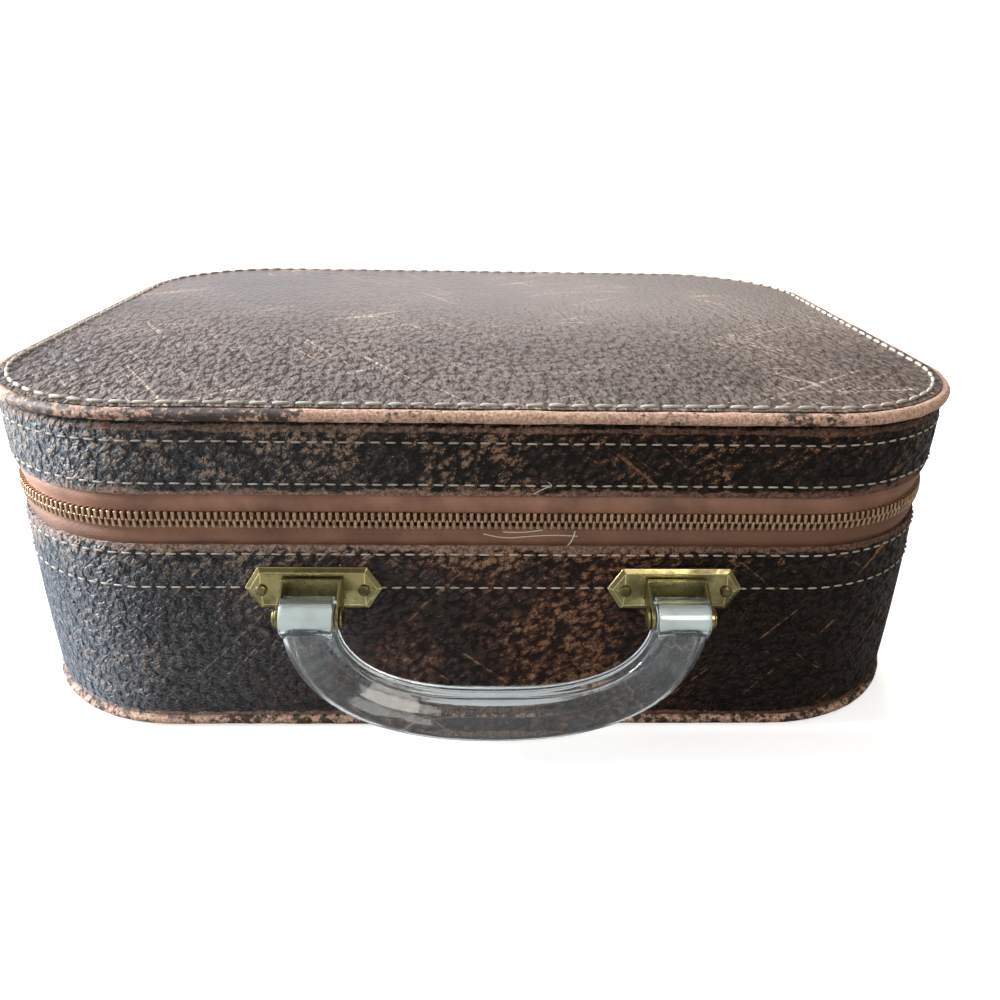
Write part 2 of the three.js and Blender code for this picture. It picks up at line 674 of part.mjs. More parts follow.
function clevis(x) {
  const webBack = PLATE_FRONT_Y - FIT_GAP;
  const low = PLATE_CENTRE_HEIGHT - CLEVIS_EAR_HEIGHT / 2;
  const web = box(x - EAR_OUTER, x + EAR_OUTER, webBack - CLEVIS_SHEET, webBack, low, low + CLEVIS_EAR_HEIGHT);
  const hole = rod(PIN_HOLE_RADIUS, x - 2 * EAR_OUTER, x + 2 * EAR_OUTER, PIVOT_Y, PIN_HEIGHT);
  return cut(joined(web, ear(x - EAR_OUTER, x - EAR_INNER), ear(x + EAR_INNER, x + EAR_OUTER)), hole);
}

// A pin is turned about X: a plain shank with a low head at each end.
function pin(x) {
  const shank = EAR_OUTER + FIT_GAP;
  const end = shank + PIN_HEAD_HEIGHT;
  const profile = [
    [0, -end],
    [PIN_HEAD_RADIUS * 0.6, -end],
    [PIN_HEAD_RADIUS, -shank - PIN_HEAD_HEIGHT / 2],
    [PIN_HEAD_RADIUS, -shank],
    [PIN_RADIUS, -shank],
    [PIN_RADIUS, shank],
    [PIN_HEAD_RADIUS, shank],
    [PIN_HEAD_RADIUS, shank + PIN_HEAD_HEIGHT / 2],
    [PIN_HEAD_RADIUS * 0.6, end],
    [0, end],
  ];
  const points = profile.map(([r, along]) => new THREE.Vector2(r, along));
  return new THREE.LatheGeometry(points, PIN_SIDES).rotateZ(-Math.PI / 2).translate(x, PIVOT_Y, PIN_HEIGHT);
}

const bush = (x) =>
  cut(
    rod(BUSH_OUTER, x - BARREL_WIDTH / 2, x + BARREL_WIDTH / 2, PIVOT_Y, PIN_HEIGHT),
    rod(PIN_HOLE_RADIUS, x - BARREL_WIDTH, x + BARREL_WIDTH, PIVOT_Y, PIN_HEIGHT),
  );

["left", "right"].forEach((name, index) => {
  const x = bracketXs[index];
  const holes = rivetPlaces.map((place) =>
    peg(RIVET_RADIUS + FIT_GAP, place.x, PLATE_FRONT_Y - 1, PLATE_BACK_Y + 1, PLATE_CENTRE_HEIGHT),
  );
  add(caseBody, `handle_plate_${name}`, cut(bevelledPlate(x), ...holes), agedBrass);
  add(caseBody, `handle_clevis_${name}`, clevis(x), agedBrass);
  add(caseBody, `handle_pin_${name}`, pin(x), agedBrass);
  add(handle, `handle_bush_${name}`, bush(x), steel);
});

// Each rivet clamps a plate, the leather and the frame against a washer inside.
function rivet(x) {
  const headY = PLATE_FRONT_Y - FIT_GAP;
  const washerY = -HALF_DEPTH + WASHER_INSET + WASHER_THICKNESS;
  const tailY = washerY + FIT_GAP;
  const profile = [
    [0, headY - RIVET_HEAD_HEIGHT],
    [RIVET_HEAD_RADIUS * 0.6, headY - RIVET_HEAD_HEIGHT],
    [RIVET_HEAD_RADIUS, headY - RIVET_HEAD_HEIGHT / 3],
    [RIVET_HEAD_RADIUS, headY],
    [RIVET_RADIUS, headY],
    [RIVET_RADIUS, tailY],
    [0, tailY],
  ];
  const points = profile.map(([r, along]) => new THREE.Vector2(r, along));
  return new THREE.LatheGeometry(points, ROUND_SIDES).translate(x, 0, PLATE_CENTRE_HEIGHT);
}

function washer(x) {
  const y0 = -HALF_DEPTH + WASHER_INSET;
  return cut(
    peg(WASHER_RADIUS, x, y0, y0 + WASHER_THICKNESS, PLATE_CENTRE_HEIGHT),
    peg(RIVET_RADIUS + FIT_GAP, x, y0 - 1, y0 + WASHER_THICKNESS + 1, PLATE_CENTRE_HEIGHT),
  );
}

for (const { side, way, x } of rivetPlaces) {
  const name = `${side < 0 ? "left" : "right"}_${side === way ? "outer" : "inner"}`;
  add(caseBody, `rivet_${name}`, rivet(x), agedBrass);
  add(caseBody, `rivet_washer_${name}`, washer(x), steel);
}

export default trainCase;
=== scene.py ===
"""Train case: the visible surface of a small zipped leather case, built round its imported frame."""

import json
import math

import bmesh
import bpy
from bpy.props import FloatProperty, FloatVectorProperty, PointerProperty
from mathutils import Matrix, Vector

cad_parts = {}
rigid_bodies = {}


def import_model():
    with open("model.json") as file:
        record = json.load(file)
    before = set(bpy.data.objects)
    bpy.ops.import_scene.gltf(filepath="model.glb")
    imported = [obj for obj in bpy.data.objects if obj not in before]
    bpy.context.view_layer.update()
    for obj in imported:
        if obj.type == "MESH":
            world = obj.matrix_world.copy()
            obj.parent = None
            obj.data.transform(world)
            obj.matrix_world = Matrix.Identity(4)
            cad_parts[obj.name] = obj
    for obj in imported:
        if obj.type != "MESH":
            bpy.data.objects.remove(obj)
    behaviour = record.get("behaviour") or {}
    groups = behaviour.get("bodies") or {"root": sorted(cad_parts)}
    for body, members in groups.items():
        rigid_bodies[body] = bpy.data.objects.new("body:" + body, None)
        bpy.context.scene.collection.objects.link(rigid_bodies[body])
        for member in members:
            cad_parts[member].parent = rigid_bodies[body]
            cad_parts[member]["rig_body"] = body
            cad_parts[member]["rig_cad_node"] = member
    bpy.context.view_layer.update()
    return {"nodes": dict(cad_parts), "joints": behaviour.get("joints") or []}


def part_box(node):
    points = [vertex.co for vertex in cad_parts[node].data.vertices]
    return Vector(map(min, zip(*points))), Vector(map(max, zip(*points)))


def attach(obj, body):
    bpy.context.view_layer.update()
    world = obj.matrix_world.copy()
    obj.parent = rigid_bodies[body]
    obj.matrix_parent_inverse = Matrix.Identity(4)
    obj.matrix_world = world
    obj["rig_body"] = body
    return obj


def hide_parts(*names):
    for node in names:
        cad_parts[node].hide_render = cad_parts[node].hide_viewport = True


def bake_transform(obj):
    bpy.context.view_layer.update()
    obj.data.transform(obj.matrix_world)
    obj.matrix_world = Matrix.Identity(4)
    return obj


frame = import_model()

bl_info = {
    "name": "Leather Train Case",
    "version": (1, 0, 0),
    "blender": (4, 5, 0),
    "location": "3D View > Sidebar > Train Case",
    "description": "Builds a worn leather train case with a zip and a clear handle",
    "category": "Object",
}

MM = 0.001
BODY_LOW, BODY_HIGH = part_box("body_leather_band")
LID_LOW, LID_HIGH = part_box("lid_leather_band")
TOP_LOW, TOP_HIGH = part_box("lid_top_leather")
HALF_WIDTH = BODY_HIGH.x
HALF_DEPTH = BODY_HIGH.y
PARTING = next(j["pos_m"][2] for j in frame["joints"] if j["name"] == "lid_hinge")
CORNER_CENTRE = next(j["pos_m"] for j in frame["joints"] if j["name"] == "zip_slide")
CORNER_RADIUS = HALF_WIDTH - CORNER_CENTRE[0]
PIN_Y, PIN_Z = next(j["pos_m"][1:] for j in frame["joints"] if j["name"] == "handle_swing")
ZIP_END = math.radians(45)
BODY, LID, HANDLE, SLIDER, PULL = "case_body", "lid", "handle", "slider", "pull"


# ---- Settings --------------------------------------------------------------------------------
def length(name, about, default, low=0.0):
    return FloatProperty(name=name, description=about, default=default, min=low, unit="LENGTH")


def colour(name, about, default):
    return FloatVectorProperty(
        name=name, description=about, default=default, size=3, min=0, max=1, subtype="COLOR"
    )


class TrainCaseSizes(bpy.types.PropertyGroup):
    leather: length("Leather", "Thickness of the leather bands", 1.6 * MM)
    belly: length("Belly", "How far the body's leather swells past straight", 0.5 * MM)
    column: length("Column", "Length of one modelled column of a band", 2.6 * MM, 0.5 * MM)
    stitch_pitch: length("Stitch Pitch", "Spacing of the stitches on the bands", 4.6 * MM, 1 * MM)
    top_stitch_pitch: length("Top Stitch Pitch", "Spacing of the lid's stitches", 6.7 * MM, 1 * MM)
    thread: length("Thread", "Thickness of the sewing thread", 0.62 * MM)
    tooth_pitch: length("Tooth Pitch", "Spacing of one row of zip teeth", 2.15 * MM, 1 * MM)
    roll: length("Roll", "Radius of the rolled leather edge of the lid", 1.95 * MM)
    foot_roll: length("Foot Roll", "Radius of the rolled leather edge at the foot", 1.75 * MM)
    pebble: length("Pebble", "Size of one pebble of the leather's grain", 2.1 * MM, 0.5 * MM)


class TrainCaseColours(bpy.types.PropertyGroup):
    hide: colour("Hide", "The leather where its dark finish is whole", (0.017, 0.009, 0.0055))
    # Much lighter than the bands' hide: partly the top's greyer leather, partly painted sheen of the light
    # grazing the lid.
    lid_hide_and_sheen: colour("Lid Hide", "The greyer leather of the lid's top", (0.094, 0.053, 0.036))
    rubbed: colour("Rubbed", "Leather with its finish rubbed off", (0.43, 0.28, 0.18))
    russet: colour("Russet", "Leather with its finish worn thin", (0.085, 0.024, 0.012))
    suede: colour("Suede", "The rubbed leather of the rolled edges", (0.66, 0.42, 0.31))
    tape: colour("Tape", "The zip's tape", (0.37, 0.185, 0.118))
    thread: colour("Thread", "The sewing thread", (0.56, 0.51, 0.43))
    brass: colour("Brass", "The brackets' aged brass", (0.42, 0.36, 0.165))
    tooth: colour("Tooth", "The zip's antique brass", (0.62, 0.42, 0.28))
    acrylic: colour("Acrylic", "The clear handle", (0.87, 0.94, 0.96))
    lining: colour("Lining", "The cloth lining", (0.46, 0.31, 0.19))
    board: colour("Board", "The fibre board of the frames", (0.40, 0.27, 0.15))
    steel: colour("Steel", "The bright steel bushes and washers", (0.72, 0.72, 0.71))


def sizes():
    return bpy.context.scene.train_case_sizes


def colours():
    return bpy.context.scene.train_case_colours


# ---- Bench tools -----------------------------------------------------------------------------
def deselect():
    bpy.ops.object.select_all(action="DESELECT")


def only(obj):
    deselect()
    obj.select_set(True)
    bpy.context.view_layer.objects.active = obj


def fresh(name):
    """The primitive just added, named and with its place put into its mesh."""
    obj = bpy.context.active_object
    obj.name = obj.data.name = name
    settle(obj)
    return obj


def settle(obj):
    only(obj)
    bpy.ops.object.transform_apply(location=True, rotation=True, scale=True)


def edit(obj, mode="VERT"):
    only(obj)
    bpy.ops.object.mode_set(mode="EDIT")
    bpy.ops.mesh.select_mode(type=mode)


def done():
    bpy.ops.object.mode_set(mode="OBJECT")


def pick(obj, test, kind="verts"):
    """In edit mode, select only what passes the test of its middle and its normal."""
    bpy.ops.mesh.select_all(action="DESELECT")
    mesh = bmesh.from_edit_mesh(obj.data)
    mesh.normal_update()
    for part in getattr(mesh, kind):
        if kind == "verts":
            middle, normal = part.co, part.normal
        elif kind == "edges":
            middle = (part.verts[0].co + part.verts[1].co) / 2
            normal = (part.verts[1].co - part.verts[0].co).normalized()
        else:
            middle, normal = part.calc_center_median(), part.normal
        if test(middle, normal):
            part.select_set(True)
    mesh.select_flush_mode()
    bmesh.update_edit_mesh(obj.data)


def merge(obj, distance=0.02 * MM, outward=True):
    edit(obj)
    bpy.ops.mesh.select_all(action="SELECT")
    bpy.ops.mesh.remove_doubles(threshold=distance)
    if outward:
        bpy.ops.mesh.normals_make_consistent(inside=False)
    done()


def shape_with(obj, kind, **settings):
    """Add one modifier, set it and apply it."""
    only(obj)
    bpy.ops.object.modifier_add(type=kind)
    modifier = obj.modifiers[-1]
    for key, value in settings.items():
        setattr(modifier, key, value)
    bpy.ops.object.modifier_apply(modifier=modifier.name)


def smooth(obj, degrees=40, flat_faces=False):
    only(obj)
    bpy.ops.object.shade_smooth_by_angle(angle=math.radians(degrees))
    if flat_faces:
        shape_with(obj, "WEIGHTED_NORMAL", keep_sharp=True)


def remove(*objects):
    for obj in objects:
        bpy.data.objects.remove(obj)


def finish_piece(obj, look, body, slot, *nodes):
    """Hand a piece to its body. Without a look, it keeps the looks it has on its faces."""
    if look:
        obj.data.materials.clear()
        obj.data.materials.append(look)
    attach(obj, body)
    if nodes:
        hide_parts(*nodes)
    return obj


def ripple(obj, size, strength, direction="NORMAL", still=0.5):
    """Soft unevenness, the same each time. A still level of 0 only lifts."""
    cloud = bpy.data.textures.new("unevenness", "CLOUDS")
    cloud.noise_scale = size
    shape_with(
        obj, "DISPLACE", texture=cloud, texture_coords="GLOBAL", direction=direction,
        strength=strength, mid_level=still,
    )
    bpy.data.textures.remove(cloud)


def refined(node, bevel, name=None):
    """A copy of a frame part, merged, cleaned and with its edges eased."""
    only(frame["nodes"][node])
    bpy.ops.object.duplicate()
    obj = bpy.context.active_object
    obj.parent = None
    obj.matrix_world = Matrix.Identity(4)
    obj.name = obj.data.name = name or node + "_finished"
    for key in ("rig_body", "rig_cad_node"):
        if key in obj:
            del obj[key]
    edit(obj)
    bpy.ops.mesh.select_all(action="SELECT")
    bpy.ops.mesh.remove_doubles(threshold=0.005 * MM)
    bpy.ops.mesh.dissolve_limited(angle_limit=math.radians(2))
    done()
    if bevel:
        shape_with(
            obj, "BEVEL", width=bevel, segments=3, limit_method="ANGLE",
            angle_limit=math.radians(35), harden_normals=False,
        )
    smooth(obj, 50, flat_faces=True)
    return obj


# ---- Tracks round the case -------------------------------------------------------------------
def plan_point(inset, corner, angle):
    """A point on the plan outline. Corners count from the back left, the way the tracks run."""
    side_x, side_y = ((-1, 1), (-1, -1), (1, -1), (1, 1))[corner]
    radius = CORNER_RADIUS - inset
    middle_x = side_x * (HALF_WIDTH - CORNER_RADIUS)
    middle_y = side_y * (HALF_DEPTH - CORNER_RADIUS)
    return middle_x + radius * math.cos(angle), middle_y + radius * math.sin(angle)


def plan_points(inset, spared=0.0, steps=40):
    """Round the outline from the middle of the back, counter-clockwise from above.

    A spared angle leaves out the back, up to that far short of it on both back corners."""
    quarter = math.pi / 2
    turns = []
    for corner in range(4):
        first = quarter * (corner + 1)
        begin, end = first, first + quarter
        if spared and corner == 0:
            begin = end - spared
        if spared and corner == 3:
            end = begin + spared
        turns.append([plan_point(inset, corner, begin + (end - begin) * i / steps) for i in range(steps + 1)])
    ring = []
    if not spared:
        ring.append((0.0, HALF_DEPTH - inset))
    for turn in turns:
        ring.extend(turn)
    if not spared:
        ring.append((0.0, HALF_DEPTH - inset))
    points = [ring[0]]
    for here in ring[1:]:
        before = points[-1]
        gap = math.dist(before, here)
        pieces = max(1, round(gap / (8 * MM)))
        for i in range(1, pieces + 1):
            points.append(tuple(a + (b - a) * i / pieces for a, b in zip(before, here)))
    return points


def track(points, height=None):
    """A helper curve through points, and its length."""
    spots = [(*p, height) if height is not None else tuple(p) for p in points]
    curve = bpy.data.curves.new("track", "CURVE")
    curve.dimensions = "3D"
    curve.twist_mode = "Z_UP"
    spline = curve.splines.new("POLY")
    spline.points.add(len(spots) - 1)
    for point, spot in zip(spline.points, spots):
        point.co = (*spot, 1)
    obj = bpy.data.objects.new("track", curve)
    bpy.context.scene.collection.objects.link(obj)
    return obj, sum(math.dist(a, b) for a, b in zip(spots, spots[1:]))


def run_along(obj, step, path, path_length, joined=True):
    """Repeat a short length of a piece all the way along a track."""
    count = max(2, round(path_length / step))
    exact = path_length / count
    shape_with(
        obj, "ARRAY", count=count, use_relative_offset=False, use_constant_offset=True,
        constant_offset_displace=(exact, 0, 0), use_merge_vertices=joined, merge_threshold=0.02 * MM,
    )
    shape_with(obj, "CURVE", object=path, deform_axis="POS_X")
    bpy.data.objects.remove(path)


def exact_step(step, path_length):
    return path_length / max(2, round(path_length / step))


def band(name, path_points, low, high, profile, rows, thickness, closed=True, column=None):
    """A leather or tape band: one column is shaped row by row, then run round the case.

    The profile gives how far each row stands out, from 0 at the bottom to 1 at the top."""
    path, total = track(path_points, low)
    step = exact_step(column or sizes().column, total)
    bpy.ops.mesh.primitive_grid_add(
        x_subdivisions=1, y_subdivisions=rows, size=1,
        location=(step / 2, 0, (high - low) / 2), rotation=(math.pi / 2, 0, 0),
    )
    obj = bpy.context.active_object
    obj.scale = (step, high - low, 1)
    obj = fresh(name)
    edit(obj)
    for row in range(rows + 1):
        height = (high - low) * row / rows
        pick(obj, lambda middle, _: abs(middle.z - height) < 0.01 * MM)
        bpy.ops.transform.translate(value=(0, -profile(row / rows), 0))
    done()
    run_along(obj, step, path, total)
    if closed:
        merge(obj, outward=False)
    shape_with(obj, "SOLIDIFY", thickness=thickness, offset=-1.0, use_even_offset=True)
    return obj


def sheet(name, inset, low, high, columns=128, rows=96):
    """A sheet of the case's round-cornered outline, with a grid fine enough to be rippled."""
    wide, deep = 2 * (HALF_WIDTH - inset), 2 * (HALF_DEPTH - inset)
    deselect()
    bpy.ops.mesh.primitive_plane_add(size=1, location=(0, 0, low - 2 * MM))
    cutter = bpy.context.active_object
    cutter.scale = (wide, deep, 1)
    cutter = fresh(name + "_outline")
    edit(cutter)
    bpy.ops.mesh.select_all(action="SELECT")
    bpy.ops.mesh.bevel(offset=CORNER_RADIUS - inset, segments=32, affect="VERTICES")
    bpy.ops.mesh.select_all(action="SELECT")
    bpy.ops.mesh.extrude_region_move(TRANSFORM_OT_translate={"value": (0, 0, high - low + 4 * MM)})
    bpy.ops.mesh.select_all(action="SELECT")
    bpy.ops.mesh.normals_make_consistent(inside=False)
    done()
    deselect()
    bpy.ops.mesh.primitive_grid_add(x_subdivisions=columns, y_subdivisions=rows, size=1)
    obj = bpy.context.active_object
    obj.scale = (wide + 8 * MM, deep + 8 * MM, 1)
    obj.location = (0, 0, high)
    obj = fresh(name)
    edit(obj)
    bpy.ops.mesh.select_all(action="SELECT")
    bpy.ops.mesh.extrude_region_move(TRANSFORM_OT_translate={"value": (0, 0, low - high)})
    bpy.ops.mesh.select_all(action="SELECT")
    bpy.ops.mesh.normals_make_consistent(inside=False)
    done()
    shape_with(obj, "BOOLEAN", operation="INTERSECT", object=cutter, solver="EXACT")
    remove(cutter)
    return obj


def sewing(name, path_points, height, pitch, stand, thick, lie=0.78, flat=1.0, wander=0.0):
    """A row of stitches: one is modelled and copied along the track."""
    path, total = track(path_points, height)
    step = exact_step(pitch, total)
    bpy.ops.mesh.primitive_uv_sphere_add(segments=8, ring_count=6, radius=0.5, rotation=(0, math.pi / 2, 0))
    obj = fresh(name)
    edit(obj)
    bpy.ops.mesh.select_all(action="SELECT")
    bpy.ops.transform.resize(value=(step * lie, thick, thick * flat))
    pick(obj, lambda middle, _: abs(middle.x) < step * lie * 0.3)
    bpy.ops.transform.resize(value=(1.35, 1.0, 1.0), center_override=(0, 0, 0))
    bpy.ops.mesh.select_all(action="SELECT")
    bpy.ops.transform.translate(value=(step / 2, -stand, 0))
    done()
    run_along(obj, step, path, total, joined=False)
    if wander:
        ripple(obj, 6 * MM, wander, "Z")
    smooth(obj, 80)
    return obj


# ---- Shader tools ----------------------------------------------------------------------------
def node(tree, kind, inputs=None, **settings):
    made = tree.nodes.new("ShaderNode" + kind)
    for key, value in settings.items():
        setattr(made, key, value)
    for key, value in (inputs or {}).items():
        socket = made.inputs[key]
        if isinstance(value, bpy.types.NodeSocket):
            tree.links.new(value, socket)
        else:
            socket.default_value = value
    return made


def group(name, inputs, outputs):
    """An empty shader group, with its input and output sockets."""
    tree = bpy.data.node_groups.new(name, "ShaderNodeTree")
    for title, kind, default in inputs:
        socket = tree.interface.new_socket(title, in_out="INPUT", socket_type="NodeSocket" + kind)
        socket.default_value = default
    for title, kind in outputs:
        tree.interface.new_socket(title, in_out="OUTPUT", socket_type="NodeSocket" + kind)
    return tree, tree.nodes.new("NodeGroupInput").outputs, tree.nodes.new("NodeGroupOutput").inputs


def math_node(tree, operation, a, b=0.0, clamp=False):
    return node(tree, "Math", {0: a, 1: b}, operation=operation, use_clamp=clamp).outputs[0]


def times(tree, a, b):
    return math_node(tree, "MULTIPLY", a, b)


def plus(tree, a, b):
    return math_node(tree, "ADD", a, b)


def larger(tree, a, b):
    return math_node(tree, "MAXIMUM", a, b)


def scaled(tone, *factors):
    """A colour times one factor, or times one factor for each channel."""
    return tuple(c * k for c, k in zip(tone, factors if len(factors) == 3 else factors * 3))


def ramp(tree, value, low, high, start=0.0, end=1.0):
    """Smoothly from start to end as the value goes from low to high."""
    made = node(
        tree, "MapRange", {"Value": value, "From Min": low, "From Max": high, "To Min": start, "To Max": end},
        interpolation_type="SMOOTHSTEP",
    )
    return made.outputs["Result"]


def mixed(tree, factor, a, b):
    made = node(tree, "Mix", {"Factor": factor}, data_type="RGBA")
    for slot, value in ((6, a), (7, b)):
        if isinstance(value, bpy.types.NodeSocket):
            tree.links.new(value, made.inputs[slot])
        else:
            made.inputs[slot].default_value = (*value, 1)
    return made.outputs[2]


def noise(tree, vector, scale, detail=3.0, rough=0.55, distortion=0.0):
    return node(
        tree, "TexNoise",
        {"Vector": vector, "Scale": scale, "Detail": detail, "Roughness": rough, "Distortion": distortion},
    ).outputs["Fac"]


def drawn_out(tree, vector, turn, lengths):
    """Coordinates turned by an angle and then drawn out along their own axes."""
    return node(
        tree, "Mapping", {"Vector": vector, "Rotation": turn, "Scale": lengths}, vector_type="TEXTURE"
    ).outputs[0]


def pebble_group():
    """Pebbled hide: domed pebbles of uneven size, drawn out one way, with creases between."""
    tree, given, out = group(
        "Pebbled Hide",
        [("Vector", "Vector", (0, 0, 0)), ("Pebble Size", "Float", 0.0026), ("Turn", "Vector", (0, 0, 0)),
         ("Stretch", "Float", 1.5)],
        [("Height", "Float"), ("Crease", "Float"), ("Tint", "Float")],
    )
    per_metre = math_node(tree, "DIVIDE", 1.0, given["Pebble Size"])
    lengths = node(tree, "CombineXYZ", {"X": given["Stretch"], "Y": 1.0, "Z": 1.0}).outputs[0]
    turned = drawn_out(tree, given["Vector"], given["Turn"], lengths)
    spread = node(tree, "VectorMath", {0: turned, "Scale": per_metre}, operation="SCALE").outputs[0]
    warp = node(tree, "TexNoise", {"Vector": spread, "Scale": 0.9, "Detail": 2.0, "Roughness": 0.5})
    centred = node(
        tree, "VectorMath", {0: warp.outputs["Color"], 1: (0.5, 0.5, 0.5)}, operation="SUBTRACT"
    ).outputs[0]
    pushed = node(tree, "VectorMath", {0: centred, "Scale": 1.1}, operation="SCALE").outputs[0]
    place = node(tree, "VectorMath", {0: spread, 1: pushed}, operation="ADD").outputs[0]
    big = node(tree, "TexVoronoi", {"Vector": place, "Scale": 1.0}, feature="F1")
    small = node(tree, "TexVoronoi", {"Vector": place, "Scale": 2.1}, feature="F1")
    domes = []
    for cell, share in ((big, 1.1), (small, 1.0)):
        away = math_node(tree, "POWER", cell.outputs["Distance"], 1.5)
        domes.append(math_node(tree, "SUBTRACT", 1.0, times(tree, away, share), clamp=True))
    fine = noise(tree, spread, 1.3, 4.0, 0.6)
    height = times(tree, domes[0], 0.55)
    height = plus(tree, height, times(tree, domes[1], 0.24))
    height = plus(tree, height, times(tree, fine, 0.52))
    tree.links.new(height, out["Height"])
    tree.links.new(ramp(tree, height, 0.78, 0.60), out["Crease"])
    tree.links.new(node(tree, "SeparateColor", {0: small.outputs["Color"]}).outputs[0], out["Tint"])
    return tree


def flecks_group():
    """Rubbed flecks on the high spots of the grain, thick in patches and sparse elsewhere."""
    tree, given, out = group(
        "Rubbed Flecks",
        [("Vector", "Vector", (0, 0, 0)), ("Amount", "Float", 0.3), ("Size", "Float", 0.01),
         ("Height", "Float", 0.6)],
        [("Mask", "Float"), ("Patch", "Float")],
    )
    per_metre = math_node(tree, "DIVIDE", 1.0, given["Size"])
    spread = node(tree, "VectorMath", {0: given["Vector"], "Scale": per_metre}, operation="SCALE").outputs[0]
    patch = noise(tree, spread, 0.45, 4.0, 0.62)
    grit = noise(tree, spread, 17.0, 5.0, 0.75, 0.4)
    total = plus(tree, times(tree, patch, 0.8), times(tree, grit, 1.2))
    total = plus(tree, total, times(tree, given["Height"], 0.7))
    limit = math_node(tree, "SUBTRACT", 1.88, times(tree, given["Amount"], 0.5))
    over = math_node(tree, "SUBTRACT", total, limit)
    tree.links.new(ramp(tree, over, -0.03, 0.05), out["Mask"])
    tree.links.new(patch, out["Patch"])
    return tree


def edge_group():
    """A ragged stripe at one height, for rubbed and raw edges."""
    tree, given, out = group(
        "Rubbed Edge",
        [("Vector", "Vector", (0, 0, 0)), ("Height", "Float", 0.1), ("Reach", "Float", 0.003)],
        [("Mask", "Float")],
    )
    up = node(tree, "SeparateXYZ", {0: given["Vector"]}).outputs["Z"]
    ragged = math_node(tree, "SUBTRACT", noise(tree, given["Vector"], 95.0, 5.0, 0.65), 0.5)
    swing = times(tree, times(tree, ragged, given["Reach"]), 4.0)
    away = math_node(tree, "ABSOLUTE", math_node(tree, "SUBTRACT", up, given["Height"]))
    gap = math_node(tree, "SUBTRACT", plus(tree, away, swing), given["Reach"])
    share = math_node(tree, "DIVIDE", gap, given["Reach"])
    tree.links.new(ramp(tree, share, 0.25, -0.25), out["Mask"])
    return tree


def weave_group():
    """Plain woven cloth, from two crossing waves."""
    tree, given, out = group(
        "Plain Weave",
        [("Vector", "Vector", (0, 0, 0)), ("Threads", "Float", 1800.0)],
        [("Height", "Float")],
    )
    parts = node(tree, "SeparateXYZ", {0: given["Vector"]}).outputs
    around = plus(tree, parts["X"], parts["Y"])
    warp = math_node(tree, "SINE", times(tree, around, given["Threads"]))
    weft = math_node(tree, "SINE", times(tree, parts["Z"], given["Threads"]))
    crossed = times(tree, warp, weft)
    tree.links.new(times(tree, plus(tree, crossed, 1.0), 0.5), out["Height"])
    return tree


def tarnish_group():
    """Patches and fine scuffs on old metal."""
    tree, given, out = group(
        "Tarnish",
        [("Vector", "Vector", (0, 0, 0)), ("Scale", "Float", 160.0)],
        [("Patch", "Float"), ("Scuff", "Float")],
    )
    patch = noise(tree, given["Vector"], given["Scale"], 5.0, 0.62)
    long = node(tree, "Mapping", {"Vector": given["Vector"], "Scale": (0.25, 1, 4)}).outputs[0]
    scuff = noise(tree, long, times(tree, given["Scale"], 5.0), 3.0, 0.6)
    tree.links.new(ramp(tree, patch, 0.38, 0.66), out["Patch"])
    tree.links.new(scuff, out["Scuff"])
    return tree


def shared(name):
    makers = {
        "Pebbled Hide": pebble_group, "Rubbed Flecks": flecks_group, "Rubbed Edge": edge_group,
        "Plain Weave": weave_group, "Tarnish": tarnish_group,
    }
    return bpy.data.node_groups.get(name) or makers[name]()


def use(tree, name, **inputs):
    made = tree.nodes.new("ShaderNodeGroup")
    made.node_tree = shared(name)
    for key, value in inputs.items():
        socket = made.inputs[key.replace("_", " ")]
        if isinstance(value, bpy.types.NodeSocket):
            tree.links.new(value, socket)
        else:
            socket.default_value = value
    return made.outputs


def seen_clearly(tree):
    """1 for what the camera sees straight on, less through the clear handle, and 0 for other light."""
    path = node(tree, "LightPath").outputs
    through = times(tree, path["Is Transmission Ray"], 0.5)
    return larger(tree, path["Is Camera Ray"], through)


def new_look(name):
    """A material with its tree, its shader and the piece's own coordinates."""
    look = bpy.data.materials.new(name)
    look.use_nodes = True
    tree = look.node_tree
    shader = tree.nodes["Principled BSDF"]
    place = node(tree, "TexCoord").outputs["Object"]
    return look, tree, shader, place


def connect(tree, shader, **sources):
    for key, value in sources.items():
        socket = shader.inputs[key.replace("_", " ")]
        if isinstance(value, bpy.types.NodeSocket):
            tree.links.new(value, socket)
        else:
            socket.default_value = (*value, 1) if isinstance(value, (tuple, list)) else value


def bumped(tree, shader, height, strength, distance):
    made = node(tree, "Bump", {"Height": height, "Strength": strength, "Distance": distance})
    tree.links.new(made.outputs[0], shader.inputs["Normal"])


